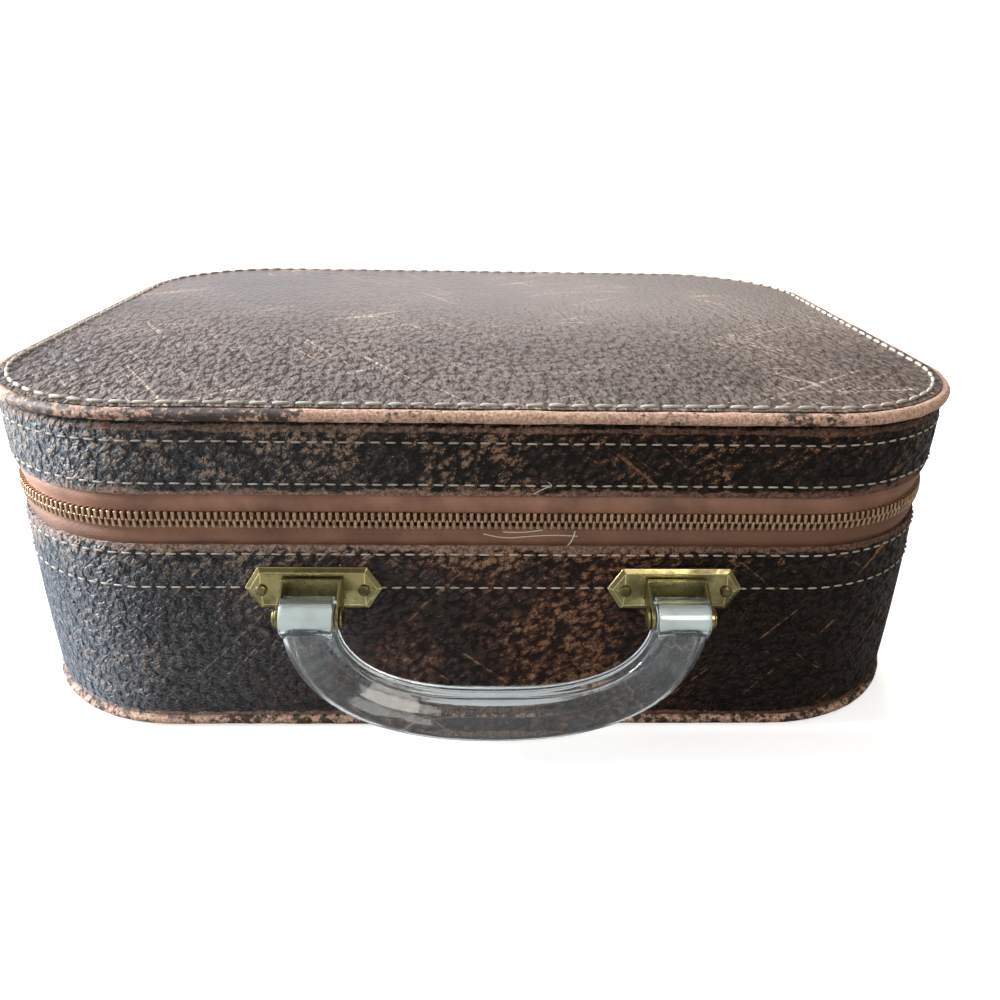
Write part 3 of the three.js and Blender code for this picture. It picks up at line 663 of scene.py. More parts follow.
# ---- Looks -----------------------------------------------------------------------------------
def hide_look(name, base, amount, edges=(), russet=0.0, corner_wear=0.3, gloss=0.36, pebble=None,
              lift=3.0, high_wear=None, scratched=0.0, spared=0.05, worn_spot=None):
    """Dark pebbled leather, rubbed on its high spots, along its edges and at the corners; painted shade
    darkens its creases and painted window light tints its left side.
    """
    look, tree, shader, place = new_look(name)
    tones = colours()
    grain = use(
        tree, "Pebbled Hide", Vector=place, Pebble_Size=pebble or sizes().pebble,
        Turn=(0, math.radians(-35), 0),
    )
    parts = node(tree, "SeparateXYZ", {0: place}).outputs
    wanted = ramp(tree, parts["X"], -0.06, -HALF_WIDTH, amount, amount + corner_wear)
    wanted = math_node(tree, "SUBTRACT", wanted, ramp(tree, parts["X"], 0.05, 0.13, 0.0, spared))
    if worn_spot:
        middle, reach, extra = worn_spot
        away = node(tree, "VectorMath", {0: place, 1: middle}, operation="DISTANCE").outputs["Value"]
        wanted = plus(tree, wanted, ramp(tree, away, reach, reach * 0.4, 0.0, extra))
    if high_wear:
        start, end, extra = high_wear
        wanted = plus(tree, wanted, ramp(tree, parts["Z"], start, end, 0.0, extra))
    flecks = use(tree, "Rubbed Flecks", Vector=place, Amount=wanted, Size=0.010, Height=grain["Height"])
    mask = times(tree, flecks["Mask"], 0.85)
    raw = 0.0
    for height, reach, share in edges:
        edge = use(tree, "Rubbed Edge", Vector=place, Height=height, Reach=reach)["Mask"]
        raw = larger(tree, times(tree, edge, share), raw)
    if scratched:
        lines = 0.0
        for turn, low in ((38, 0.64), (-46, 0.65)):
            turned = drawn_out(tree, place, (0, math.radians(turn), 0), (0.05, 0.02, 0.0022))
            streak = ramp(tree, noise(tree, turned, 1.0, 3.0, 0.6, 0.3), low, low + 0.05)
            lines = larger(tree, streak, lines)
        lines = times(tree, lines, ramp(tree, grain["Height"], 0.6, 0.85, 0.1, scratched))
        mask = larger(tree, mask, lines)
    # Toward the left the colour turns blue: painted window light from that side.
    window_side = ramp(tree, parts["X"], -HALF_WIDTH, HALF_WIDTH * 0.4, 1.0, 0.0)
    warm_base = mixed(tree, grain["Tint"], scaled(base, 0.7), scaled(base, 1.4))
    painted_window_light = scaled(base, 1.0, 1.5, 2.3)
    shade = mixed(tree, times(tree, window_side, 0.7), warm_base, painted_window_light)
    if russet:
        middle = ramp(tree, math_node(tree, "ABSOLUTE", parts["X"]), 0.095, 0.02)
        glow = times(tree, middle, ramp(tree, flecks["Patch"], 0.35, 0.6, 0.15, russet))
        shade = mixed(tree, glow, shade, tuple(tones.russet))
    # Darker in the creases of the grain: painted shade.
    shade = mixed(tree, times(tree, grain["Crease"], 0.8), shade, scaled(base, 0.25))
    fine = noise(tree, place, 900.0, 4.0, 0.65)
    warm = mixed(tree, fine, scaled(tones.rubbed, 0.25, 0.16, 0.12),
                 scaled(tones.rubbed, 1.5, 1.2, 0.95))
    pale = mixed(tree, fine, scaled(tones.rubbed, 0.35, 0.4, 0.45),
                 scaled(tones.rubbed, 1.6, 1.75, 1.9))
    # Flecks turn paler and cooler toward the left: partly paler wear, partly painted window light.
    bare = mixed(tree, ramp(tree, parts["X"], 0.05, -0.07), warm, pale)
    shade = mixed(tree, mask, shade, bare)
    if edges:
        fuzz = mixed(tree, ramp(tree, fine, 0.35, 0.65), scaled(tones.suede, 0.22),
                     scaled(tones.suede, 0.8))
        fuzz = mixed(tree, ramp(tree, parts["X"], -0.05, 0.12, 0.0, 0.6), fuzz, tuple(tones.russet))
        shade = mixed(tree, raw, shade, fuzz)
        mask = larger(tree, mask, raw)
    connect(tree, shader, Base_Color=shade)
    shine = math_node(tree, "ADD", ramp(tree, grain["Crease"], 0.0, 1.0, gloss, gloss + 0.35),
                      times(tree, mask, 0.4), clamp=True)
    connect(tree, shader, Roughness=shine)
    tree.links.new(ramp(tree, parts["X"], 0.0, -HALF_WIDTH, 0.0, 0.6), shader.inputs["Sheen Weight"])
    tree.links.new(ramp(tree, parts["X"], 0.08, -0.12, 0.22, 0.5), shader.inputs["Specular IOR Level"])
    shader.inputs["Sheen Roughness"].default_value = 0.35
    shader.inputs["Sheen Tint"].default_value = (0.68, 0.82, 1, 1)
    height = plus(tree, grain["Height"], times(tree, fine, 0.06))
    bumped(tree, shader, height, 1.0, lift * MM)
    return look


def lid_top_look():
    """The lid's top: greyer pebbled leather, made lighter in part as painted sheen, with pale scratches,
    rubbed front corners and painted shade in its creases.
    """
    look, tree, shader, place = new_look("lid top leather")
    tones = colours()
    base = tuple(tones.lid_hide_and_sheen)
    grain = use(
        tree, "Pebbled Hide", Vector=place, Pebble_Size=2.3 * MM, Turn=(0, 0, math.radians(100)), Stretch=2.1
    )
    parts = node(tree, "SeparateXYZ", {0: place}).outputs
    lines = 0.0
    for turn, low in ((38, 0.62), (-57, 0.62), (8, 0.65)):
        turned = drawn_out(tree, place, (0, 0, math.radians(turn)), (0.075, 0.0024, 0.02))
        streak = ramp(tree, noise(tree, turned, 1.0, 3.0, 0.6, 0.35), low, low + 0.035)
        lines = larger(tree, streak, lines)
    broad = noise(tree, place, 16.0, 3.0, 0.55)
    grit = noise(tree, place, 500.0, 4.0, 0.65)
    scratch = times(tree, lines, ramp(tree, broad, 0.44, 0.56))
    scratch = times(tree, scratch, ramp(tree, grit, 0.35, 0.6))
    front = ramp(tree, parts["Y"], -HALF_DEPTH * 0.5, -HALF_DEPTH * 0.98, 0.0, 0.20)
    rub = use(tree, "Rubbed Flecks", Vector=place, Amount=front, Size=0.012, Height=grain["Height"])
    worn = larger(tree, times(tree, scratch, 0.85), rub["Mask"])
    near = ramp(tree, parts["Y"], 0.06, -0.10, 0.1, 1.0)
    near = times(tree, near, ramp(tree, parts["X"], 0.04, -0.08, 0.75, 1.0))
    tint = mixed(tree, grain["Tint"], scaled(base, 0.7), scaled(base, 1.3))
    shade = mixed(tree, near, base, tint)
    shade = mixed(tree, ramp(tree, broad, 0.35, 0.7, 0.0, 0.5), shade, scaled(base, 1.8))
    # Darker in the creases between the pebbles, most at the front left where near is high: painted shade.
    shaded_creases = times(tree, grain["Crease"], times(tree, near, 0.62))
    shade = mixed(tree, shaded_creases, shade, scaled(base, 0.22))
    pale = scaled(tones.suede, 0.85, 1.05, 1.15)
    connect(tree, shader, Base_Color=mixed(tree, worn, shade, pale))
    shine = math_node(tree, "ADD", ramp(tree, shaded_creases, 0.0, 0.62, 0.34, 0.78),
                      times(tree, worn, 0.35), clamp=True)
    connect(tree, shader, Roughness=shine)
    shader.inputs["Specular IOR Level"].default_value = 0.4
    height = plus(tree, grain["Height"], times(tree, grit, 0.08))
    bumped(tree, shader, height, 1.0, times(tree, near, 5.5 * MM))
    return look


def roll_look(name, bare_share, zones=()):
    """A rolled leather edge, rubbed to suede in stretches and dark between them.

    A zone is a stretch across the front, from one X to another, where it is rubbed more."""
    look, tree, shader, place = new_look(name)
    tones = colours()
    across = node(tree, "SeparateXYZ", {0: place}).outputs["X"]
    wanted = bare_share
    for first, last in zones:
        inside = times(tree, ramp(tree, across, first - 0.004, first + 0.004),
            ramp(tree, across, last + 0.004, last - 0.004),
        )
        wanted = plus(tree, times(tree, inside, 0.19), wanted)
    long = noise(tree, place, 24.0, 3.0, 0.6)
    grit = noise(tree, place, 420.0, 5.0, 0.7)
    both = plus(tree, times(tree, long, 0.6), grit)
    over = plus(tree, both, wanted)
    mask = ramp(tree, over, 0.90, 1.02)
    fine = noise(tree, place, 1100.0, 4.0, 0.7)
    bare = mixed(tree, ramp(tree, fine, 0.3, 0.7), scaled(tones.suede, 0.45),
                 tuple(min(1, c * 1.35) for c in tones.suede))
    dark = mixed(tree, grit, scaled(tones.hide, 0.8), scaled(tones.hide, 5))
    connect(
        tree, shader, Base_Color=mixed(tree, mask, dark, bare), Roughness=ramp(tree, mask, 0, 1, 0.45, 0.9)
    )
    bumped(tree, shader, plus(tree, grit, fine), 1.0, 0.45 * MM)
    return look


def tape_look():
    look, tree, shader, place = new_look("zip tape")
    tone = tuple(colours().tape)
    weave = use(tree, "Plain Weave", Vector=place, Threads=5200.0)["Height"]
    broad = noise(tree, place, 60.0, 4.0, 0.6)
    base = mixed(tree, ramp(tree, broad, 0.3, 0.7), scaled(tone, 0.6), scaled(tone, 1.3))
    base = mixed(tree, times(tree, weave, 0.25), base, scaled(tone, 0.5))
    parts = node(tree, "SeparateXYZ", {0: place}).outputs
    # Darker below the parting line and towards the right side: painted shade.
    dirt_and_shade = ramp(tree, parts["Z"], PARTING + 3 * MM, PARTING - 4 * MM, 0.0, 0.5)
    dirt_and_shade = math_node(tree, "ADD", dirt_and_shade, ramp(tree, parts["X"], -0.02, HALF_WIDTH, 0.0, 0.55), clamp=True)
    base = mixed(tree, dirt_and_shade, base, scaled(tone, 0.4, 0.36, 0.28))
    connect(tree, shader, Base_Color=base, Roughness=ramp(tree, broad, 0.3, 0.7, 0.45, 0.62))
    shader.inputs["Sheen Weight"].default_value = 0.1
    shader.inputs["Sheen Roughness"].default_value = 0.4
    bumped(tree, shader, plus(tree, weave, times(tree, broad, 2.0)), 0.5, 0.12 * MM)
    return look


def thread_look(name, tone):
    look, tree, shader, place = new_look(name)
    twist = noise(tree, place, 1600.0, 2.0, 0.5)
    dirt_and_shade = noise(tree, place, 35.0, 3.0, 0.6)
    base = mixed(tree, ramp(tree, dirt_and_shade, 0.4, 0.7, 0.0, 0.55), tone, scaled(tone, 0.45))
    connect(tree, shader, Base_Color=base, Roughness=0.8)
    bumped(tree, shader, twist, 0.6, 0.12 * MM)
    return look


def metal_look(name, tone, dull, rough, scale=160.0, dent=0.05, metal=1.0):
    look, tree, shader, place = new_look(name)
    old = use(tree, "Tarnish", Vector=place, Scale=scale)
    base = mixed(tree, times(tree, old["Patch"], dull), tone, scaled(tone, 0.35))
    sheen = plus(tree, ramp(tree, old["Patch"], 0, 1, rough, rough + 0.22),
                      times(tree, old["Scuff"], 0.08))
    connect(tree, shader, Base_Color=base, Roughness=sheen, Metallic=metal)
    bumped(tree, shader, plus(tree, old["Scuff"], old["Patch"]), 0.35, dent * MM)
    return look


def acrylic_look():
    look, tree, shader, place = new_look("clear acrylic")
    tone = tuple(colours().acrylic)
    haze = noise(tree, place, 90.0, 4.0, 0.6)
    base = mixed(tree, haze, scaled(tone, 0.97), tone)
    connect(tree, shader, Base_Color=base, Roughness=ramp(tree, haze, 0.4, 0.75, 0.02, 0.09))
    shader.inputs["Transmission Weight"].default_value = 0.97
    shader.inputs["IOR"].default_value = 1.49
    scuff = noise(tree, place, 700.0, 3.0, 0.6)
    bumped(tree, shader, scuff, 0.06, 0.04 * MM)
    return look


def cloth_look(name, tone, threads=4200.0):
    look, tree, shader, place = new_look(name)
    weave = use(tree, "Plain Weave", Vector=place, Threads=threads)["Height"]
    broad = noise(tree, place, 22.0, 4.0, 0.6)
    base = mixed(tree, ramp(tree, broad, 0.3, 0.75), tone, scaled(tone, 0.72))
    base = mixed(tree, times(tree, weave, 0.3), base, scaled(tone, 0.6))
    connect(tree, shader, Base_Color=base, Roughness=0.9)
    bumped(tree, shader, weave, 0.6, 0.15 * MM)
    return look


def board_look():
    look, tree, shader, place = new_look("fibre board")
    tone = tuple(colours().board)
    flattened = node(tree, "Mapping", {"Vector": place, "Scale": (1, 1, 6)}).outputs[0]
    fibre = noise(tree, flattened, 260.0, 5.0, 0.7)
    connect(tree, shader, Base_Color=mixed(tree, fibre, scaled(tone, 0.6), tone), Roughness=0.9)
    bumped(tree, shader, fibre, 0.5, 0.15 * MM)
    return look


def mirror_look():
    look, tree, shader, place = new_look("mirror")
    haze = noise(tree, place, 30.0, 5.0, 0.7)
    connect(
        tree, shader, Base_Color=mixed(tree, haze, (0.80, 0.83, 0.84), (0.90, 0.92, 0.92)), Metallic=1.0,
        Roughness=ramp(tree, haze, 0.5, 0.85, 0.015, 0.12),
    )
    return look


# ---- Operators -------------------------------------------------------------------------------
class TRAINCASE_OT_stage(bpy.types.Operator):
    """Set out the floor, the lights and the camera"""

    bl_idname = "traincase.stage"
    bl_label = "Set the Stage"

    def execute(self, context):
        deselect()
        bpy.ops.mesh.primitive_plane_add(size=60, location=(0, 0, 0))
        floor = fresh("floor")
        look, tree, shader, place = new_look("pale floor")
        seen = seen_clearly(tree)
        pale = mixed(tree, noise(tree, place, 3.0, 2.0), (0.90, 0.90, 0.90), (0.93, 0.93, 0.93))
        connect(
            tree, shader, Base_Color=mixed(tree, seen, (0.34, 0.33, 0.32), pale), Roughness=0.9,
            Emission_Color=(1, 1, 1), Emission_Strength=times(tree, seen, 0.62),
        )
        floor.data.materials.append(look)

        world = bpy.data.worlds.new("soft studio")
        world.use_nodes = True
        tree = world.node_tree
        background = tree.nodes["Background"]
        seen = seen_clearly(tree)
        way = node(tree, "TexCoord").outputs["Generated"]
        window = node(
            tree, "VectorMath", {0: way, 1: (-0.75, 0.6, 0.25)}, operation="DOT_PRODUCT"
        ).outputs["Value"]
        side = ramp(tree, window, -0.2, 0.95)
        tint = mixed(tree, side, (1.0, 0.93, 0.86), (0.80, 0.90, 1.0))
        tree.links.new(mixed(tree, seen, tint, (1, 1, 1)), background.inputs[0])
        unseen = ramp(tree, side, 0, 1, 0.12, 1.5)
        tree.links.new(ramp(tree, seen, 0.0, 1.0, unseen, 1.15), background.inputs[1])
        context.scene.world = world
        self.light(context, "key", (-1.0, 0.0, 0.45), 0.4, 30, (0.90, 0.95, 1.0))
        self.light(context, "top sheen", (0.2, 0.8, 0.9), 0.5, 7.5, (1.0, 0.93, 0.85))
        self.light(context, "warm fill", (0.5, -1.0, 0.7), 0.5, 4.5, (1.0, 0.94, 0.86))

        lens = bpy.data.cameras.new("camera")
        lens.sensor_width = 36
        lens.lens = 36 * 0.8181
        camera = bpy.data.objects.new("camera", lens)
        turn = (
            Matrix.Rotation(math.radians(-1.91), 4, "Z")
            @ Matrix.Rotation(math.radians(90 - 24.69), 4, "X")
            @ Matrix.Rotation(math.radians(1.14), 4, "Z")
        )
        camera.matrix_world = Matrix.Translation((-0.56 * MM, -346.2 * MM, 188.77 * MM)) @ turn
        lens.clip_start = 0.01
        context.scene.collection.objects.link(camera)
        context.scene.camera = camera
        context.scene.view_settings.view_transform = "Standard"
        return {"FINISHED"}

    def light(self, context, name, place, size, power, tone):
        lamp = bpy.data.lights.new(name, "AREA")
        lamp.size = size
        lamp.energy = power
        lamp.color = tone
        obj = bpy.data.objects.new(name, lamp)
        obj.location = place
        obj.rotation_euler = (Vector((0, 0, 0.06)) - Vector(place)).to_track_quat("-Z", "Y").to_euler()
        context.scene.collection.objects.link(obj)


class TRAINCASE_OT_lid_top(bpy.types.Operator):
    """Make the lid's crowned leather top with its row of thick stitches"""

    bl_idname = "traincase.lid_top"
    bl_label = "Lid Top"

    def execute(self, context):
        deselect()
        inset = HALF_WIDTH - TOP_HIGH.x - 1.4 * MM
        top = sheet("lid_top", inset, TOP_LOW.z + 0.2 * MM, TOP_HIGH.z)
        ripple(top, 55 * MM, 0.9 * MM, "Z")
        ripple(top, 14 * MM, 0.25 * MM, "Z")
        smooth(top, 50)
        finish_piece(top, lid_top_look(), LID, "leather_dark", "lid_top_leather")

        set_in = inset + 2.8 * MM
        stitches = sewing(
            "lid_top_stitches", plan_points(set_in), TOP_HIGH.z + 0.25 * MM, sizes().top_stitch_pitch,
            0.0, sizes().thread * 2.1, lie=0.80, wander=0.5 * MM,
        )
        finish_piece(stitches, thread_look("lid thread", tuple(colours().thread)), LID, "leather_dark")
        return {"FINISHED"}


def tube(name, inset, height, radius, sides=14, spared=0.0, flat=1.0):
    """A roll of leather round the case, from one short open length."""
    path, total = track(plan_points(inset, spared), height)
    step = exact_step(sizes().column, total)
    bpy.ops.mesh.primitive_cylinder_add(
        vertices=sides, radius=radius, depth=step, end_fill_type="NOTHING",
        location=(step / 2, 0, 0), rotation=(0, math.pi / 2, 0),
    )
    obj = fresh(name)
    edit(obj)
    bpy.ops.mesh.select_all(action="SELECT")
    bpy.ops.transform.resize(value=(1, flat, 1), center_override=(0, 0, 0))
    done()
    run_along(obj, step, path, total)
    merge(obj)
    return obj


class TRAINCASE_OT_rolls(bpy.types.Operator):
    """Make the rolled leather edges of the lid and of the foot"""

    bl_idname = "traincase.rolls"
    bl_label = "Rolled Edges"

    def execute(self, context):
        deselect()
        low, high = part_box("lid_welt")
        middle = (low.z + high.z) / 2
        inset = HALF_WIDTH - (high.x - (high.z - low.z) / 2)
        roll = tube("lid_roll", inset, middle, sizes().roll)
        ripple(roll, 22 * MM, 0.7 * MM)
        ripple(roll, 4 * MM, 0.35 * MM)
        smooth(roll, 70)
        look = roll_look("lid roll leather", 0.12, ((-0.050, 0.079), (0.107, 0.2), (-0.2, -0.14)))
        finish_piece(roll, look, LID, "leather_worn_edge", "lid_welt")
        low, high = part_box("bottom_welt")
        middle = (low.z + high.z) / 2
        inset = HALF_WIDTH - (high.x - (high.z - low.z) / 2)
        foot = tube("foot_roll", inset, middle + 0.25 * MM, sizes().foot_roll)
        ripple(foot, 30 * MM, 0.5 * MM, "Z")
        ripple(foot, 5 * MM, 0.3 * MM)
        smooth(foot, 70)
        finish_piece(foot, roll_look("foot roll leather", 0.14), BODY, "leather_worn_edge", "bottom_welt")
        return {"FINISHED"}


class TRAINCASE_OT_bands(bpy.types.Operator):
    """Make the leather bands of the body and the lid, with their stitch rows"""

    bl_idname = "traincase.bands"
    bl_label = "Leather Bands"

    def execute(self, context):
        deselect()
        size = sizes()
        tones = colours()
        belly = size.belly
        body = band(
            "body_band", plan_points(0.4 * MM), BODY_LOW.z, BODY_HIGH.z,
            lambda t: belly * math.sin(math.pi * min(1, t * 1.02)) - 0.5 * MM * max(0, 1 - t * 18)
            - 0.5 * MM * max(0, (t - 0.975) * 40), 30, size.leather,
        )
        ripple(body, 60 * MM, 0.4 * MM)
        smooth(body, 50)
        look = hide_look(
            "body leather", tuple(tones.hide), 0.20,
            ((BODY_HIGH.z, 1.6 * MM, 0.95), (BODY_LOW.z, 1.6 * MM, 0.9)), russet=0.9, corner_wear=0.22,
            high_wear=(0.054, 0.070, 0.32), scratched=0.8, spared=0.25,
            worn_spot=((0.016, -HALF_DEPTH, 0.036), 0.055, 0.2),
        )
        finish_piece(body, look, BODY, "leather_dark", "body_leather_band")
        lid = band(
            "lid_band", plan_points(0.4 * MM), LID_LOW.z, LID_HIGH.z,
            lambda t: 0.5 * MM * math.sin(math.pi * t) - 1.7 * MM * max(0, (t - 0.94) / 0.06)
            - 0.4 * MM * max(0, 1 - t * 14), 24, size.leather,
        )
        ripple(lid, 40 * MM, 0.3 * MM)
        smooth(lid, 50)
        look = hide_look(
            "lid leather", tuple(tones.hide), 0.40,
            ((LID_LOW.z, 2.0 * MM, 0.95), (LID_HIGH.z - 1.8 * MM, 0.8 * MM, 0.6)), corner_wear=0.2,
            scratched=0.6, spared=0.1, worn_spot=((0.02, -HALF_DEPTH, 0.097), 0.08, 0.16),
        )
        finish_piece(lid, look, LID, "leather_dark", "lid_leather_band")

        grey = thread_look("band thread", scaled(tones.thread, 0.95))
        for name, height, body_name, stand in (
            ("body_stitches_low", 55.0, BODY, 0.1), ("body_stitches_high", 66.7, BODY, -0.2),
            ("lid_stitches_low", 90.4, LID, 0.0), ("lid_stitches_high", 103.8, LID, 0.0),
        ):
            row = sewing(
                name, plan_points(0.0), height * MM, size.stitch_pitch, stand * MM, size.thread,
                lie=0.7, wander=0.35 * MM,
            )
            finish_piece(row, grey, body_name, "leather_dark")
        return {"FINISHED"}


class TRAINCASE_OT_zip(bpy.types.Operator):
    """Make the zip's tapes, its rows of teeth and its stops"""

    bl_idname = "traincase.zip"
    bl_label = "Zip Tapes and Teeth"

    def execute(self, context):
        deselect()
        brass = metal_look("zip brass", tuple(colours().tooth), 0.5, 0.4, 420.0)
        cloth = tape_look()
        inset = HALF_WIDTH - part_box("zip_tape_lower")[1].x
        far, near = 15 * MM, 2.4 * MM  # the tapes' edges, from the parting line
        end = ZIP_END + 3 * MM / CORNER_RADIUS
        swell = lambda t: 0.15 * MM + 0.75 * MM * math.sin(math.pi * min(1, t * 1.05)) ** 2
        lower = band(
            "tape_lower", plan_points(inset, end), PARTING - far, PARTING - near,
            lambda t: swell(max(0, (t - 0.45) / 0.55)), 16, 0.7 * MM, closed=False,
        )
        upper = band(
            "tape_upper", plan_points(inset, end), PARTING + near, PARTING + far,
            lambda t: swell(max(0, (0.55 - t) / 0.55)), 16, 0.7 * MM, closed=False,
        )
        for tape, body, cad in ((lower, BODY, "zip_tape_lower"), (upper, LID, "zip_tape_upper")):
            ripple(tape, 16 * MM, 0.5 * MM)
            smooth(tape, 60)
            finish_piece(tape, cloth, body, "zip_tape", cad)
        for side, body, cad in ((-1, BODY, "zip_teeth_lower"), (1, LID, "zip_teeth_upper")):
            self.teeth(side, body, cad, brass)
        stops = (("zip_start_stop", BODY), ("zip_end_stop_lower", BODY), ("zip_end_stop_upper", LID))
        for stop, body in stops:
            finish_piece(refined(stop, 0.3 * MM), brass, body, "zip_brass", stop)
        return {"FINISHED"}

    def teeth(self, side, body, cad, look):
        deep = 2.6 * MM
        inset = HALF_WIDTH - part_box(cad)[1].x + deep / 2
        path, total = track(plan_points(inset, ZIP_END), PARTING)
        step = exact_step(sizes().tooth_pitch, total)
        bpy.ops.mesh.primitive_cube_add(size=1)
        tooth = bpy.context.active_object
        tooth.scale = (0.88 * MM, deep, 2.9 * MM)
        tooth.location = (step * (0.25 if side < 0 else 0.75), 0, side * 1.15 * MM)
        tooth = fresh("teeth_lower" if side < 0 else "teeth_upper")
        shape_with(tooth, "BEVEL", width=0.2 * MM, segments=1)
        edit(tooth)
        pick(tooth, lambda middle, _: side * middle.z > 2.1 * MM)
        bpy.ops.transform.resize(value=(1.25, 0.8, 1))
        done()
        run_along(tooth, step, path, total, joined=False)
        smooth(tooth, 30)
        finish_piece(tooth, look, body, "zip_brass", cad)


class TRAINCASE_OT_hinge(bpy.types.Operator):
    """Make the leather hinge across the back"""

    bl_idname = "traincase.hinge"
    bl_label = "Leather Hinge"

    def execute(self, context):
        deselect()
        low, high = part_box("hinge_leather")
        inset = HALF_DEPTH - high.y
        spare = math.pi / 2 - ZIP_END - 3.6 * MM / CORNER_RADIUS
        quarter = math.pi / 2
        right = [plan_point(inset, 3, quarter - spare + spare * i / 16) for i in range(17)]
        left = [plan_point(inset, 0, quarter + spare * i / 16) for i in range(17)]
        middle = [
            (right[-1][0] + (left[0][0] - right[-1][0]) * i / 30, right[-1][1]) for i in range(1, 30)
        ]
        hinge = band(
            "back_hinge", right + middle + left, low.z, high.z,
            lambda t: 0.4 * MM * math.sin(math.pi * t), 24, 0.8 * MM, closed=False,
        )
        smooth(hinge, 60)
        look = hide_look("hinge leather", tuple(colours().hide), 0.12, gloss=0.5, corner_wear=0.1)
        hinge.data.materials.clear()
        hinge.data.materials.append(look)
        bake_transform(hinge)
        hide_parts("hinge_leather")
        return {"FINISHED"}


class TRAINCASE_OT_slider(bpy.types.Operator):
    """Finish the zip's slider and its pull"""

    bl_idname = "traincase.slider"
    bl_label = "Slider and Pull"

    def execute(self, context):
        look = metal_look("slider brass", tuple(colours().brass), 0.5, 0.28, 300.0)
        finish_piece(refined("zip_slider", 0.22 * MM), look, SLIDER, "zip_brass", "zip_slider")
        finish_piece(refined("zip_pull", 0.3 * MM), look, PULL, "zip_brass", "zip_pull")
        return {"FINISHED"}


class TRAINCASE_OT_handle(bpy.types.Operator):
    """Make the clear bail handle with its barrels and bushes"""

    bl_idname = "traincase.handle"
    bl_label = "Clear Handle"

    def execute(self, context):
        deselect()
        low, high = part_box("handle_bar")
        left_low, left_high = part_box("handle_bush_left")
        right_low, right_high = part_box("handle_bush_right")
        ends = [(left_low.x + left_high.x) / 2, (right_low.x + right_high.x) / 2]
        middle = sum(ends) / 2
        half = (ends[1] - ends[0]) / 2
        wide = left_high.x - left_low.x
        thick = high.y - low.y
        drop = PIN_Z - low.z - wide / 2
        power = 2 / 2.3
        spots = []
        for i in range(181):
            angle = math.pi + math.pi * i / 180
            across, down = math.cos(angle), math.sin(angle)
            spots.append((
                middle + half * math.copysign(abs(across) ** power, across), PIN_Y,
                PIN_Z + drop * math.copysign(abs(down) ** power, down),
            ))
        path, total = track(spots)
        path.data.twist_mode = "MINIMUM"
        step = exact_step(1.2 * MM, total)
        bpy.ops.mesh.primitive_cylinder_add(
            vertices=8, radius=0.5 / math.cos(math.pi / 8), depth=step, end_fill_type="NOTHING",
            rotation=(0, math.pi / 2, 0), location=(step / 2, 0, 0),
        )
        bar = fresh("clear_handle")
        edit(bar)
        bpy.ops.mesh.select_all(action="SELECT")
        bpy.ops.transform.rotate(value=math.pi / 8, orient_axis="X", center_override=(0, 0, 0))
        bpy.ops.transform.resize(value=(1, thick, wide), center_override=(0, 0, 0))
        done()
        run_along(bar, step, path, total)
        edit(bar)
        crown = low.z + wide / 2
        for i in range(24):
            reach = (38 - 1.4 * i) * MM
            pick(bar, lambda at, _: abs(at.x - middle) < reach and crown < at.z < crown + wide)
            bpy.ops.transform.translate(value=(0, 0, 0.065 * MM))
        bpy.ops.mesh.select_mode(type="EDGE")
        bpy.ops.mesh.select_all(action="SELECT")
        bpy.ops.mesh.region_to_loop()
        bpy.ops.mesh.edge_face_add()
        bpy.ops.mesh.select_all(action="SELECT")
        bpy.ops.mesh.normals_make_consistent(inside=False)
        done()
        shape_with(
            bar, "BEVEL", width=0.7 * MM, segments=3, limit_method="ANGLE", angle_limit=math.radians(30)
        )
        radius = high.z - PIN_Z
        for x in ends:
            self.rod(bar, x, radius, wide, "UNION")
        for x, bush in zip(ends, ("handle_bush_left", "handle_bush_right")):
            bush_low, bush_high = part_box(bush)
            self.rod(bar, x, (bush_high.z - bush_low.z) / 2 + 0.25 * MM, wide * 2, "DIFFERENCE")
        smooth(bar, 50, flat_faces=True)
        finish_piece(bar, acrylic_look(), HANDLE, "clear_acrylic", "handle_bar")
        steel = metal_look("bush steel", (0.86, 0.85, 0.79), 0.15, 0.4, 200.0, metal=0.5)
        for bush in ("handle_bush_left", "handle_bush_right"):
            finish_piece(refined(bush, 0.15 * MM), steel, HANDLE, "steel", bush)
        return {"FINISHED"}

    def rod(self, bar, x, radius, length, operation):
        deselect()
        bpy.ops.mesh.primitive_cylinder_add(
            vertices=64, radius=radius, depth=length, location=(x, PIN_Y, PIN_Z),
            rotation=(0, math.pi / 2, 0),
        )
        tool = fresh("barrel")
        if operation == "UNION":
            shape_with(tool, "BEVEL", width=0.5 * MM, segments=3, limit_method="ANGLE")
        shape_with(bar, "BOOLEAN", operation=operation, object=tool, solver="EXACT")
        remove(tool)


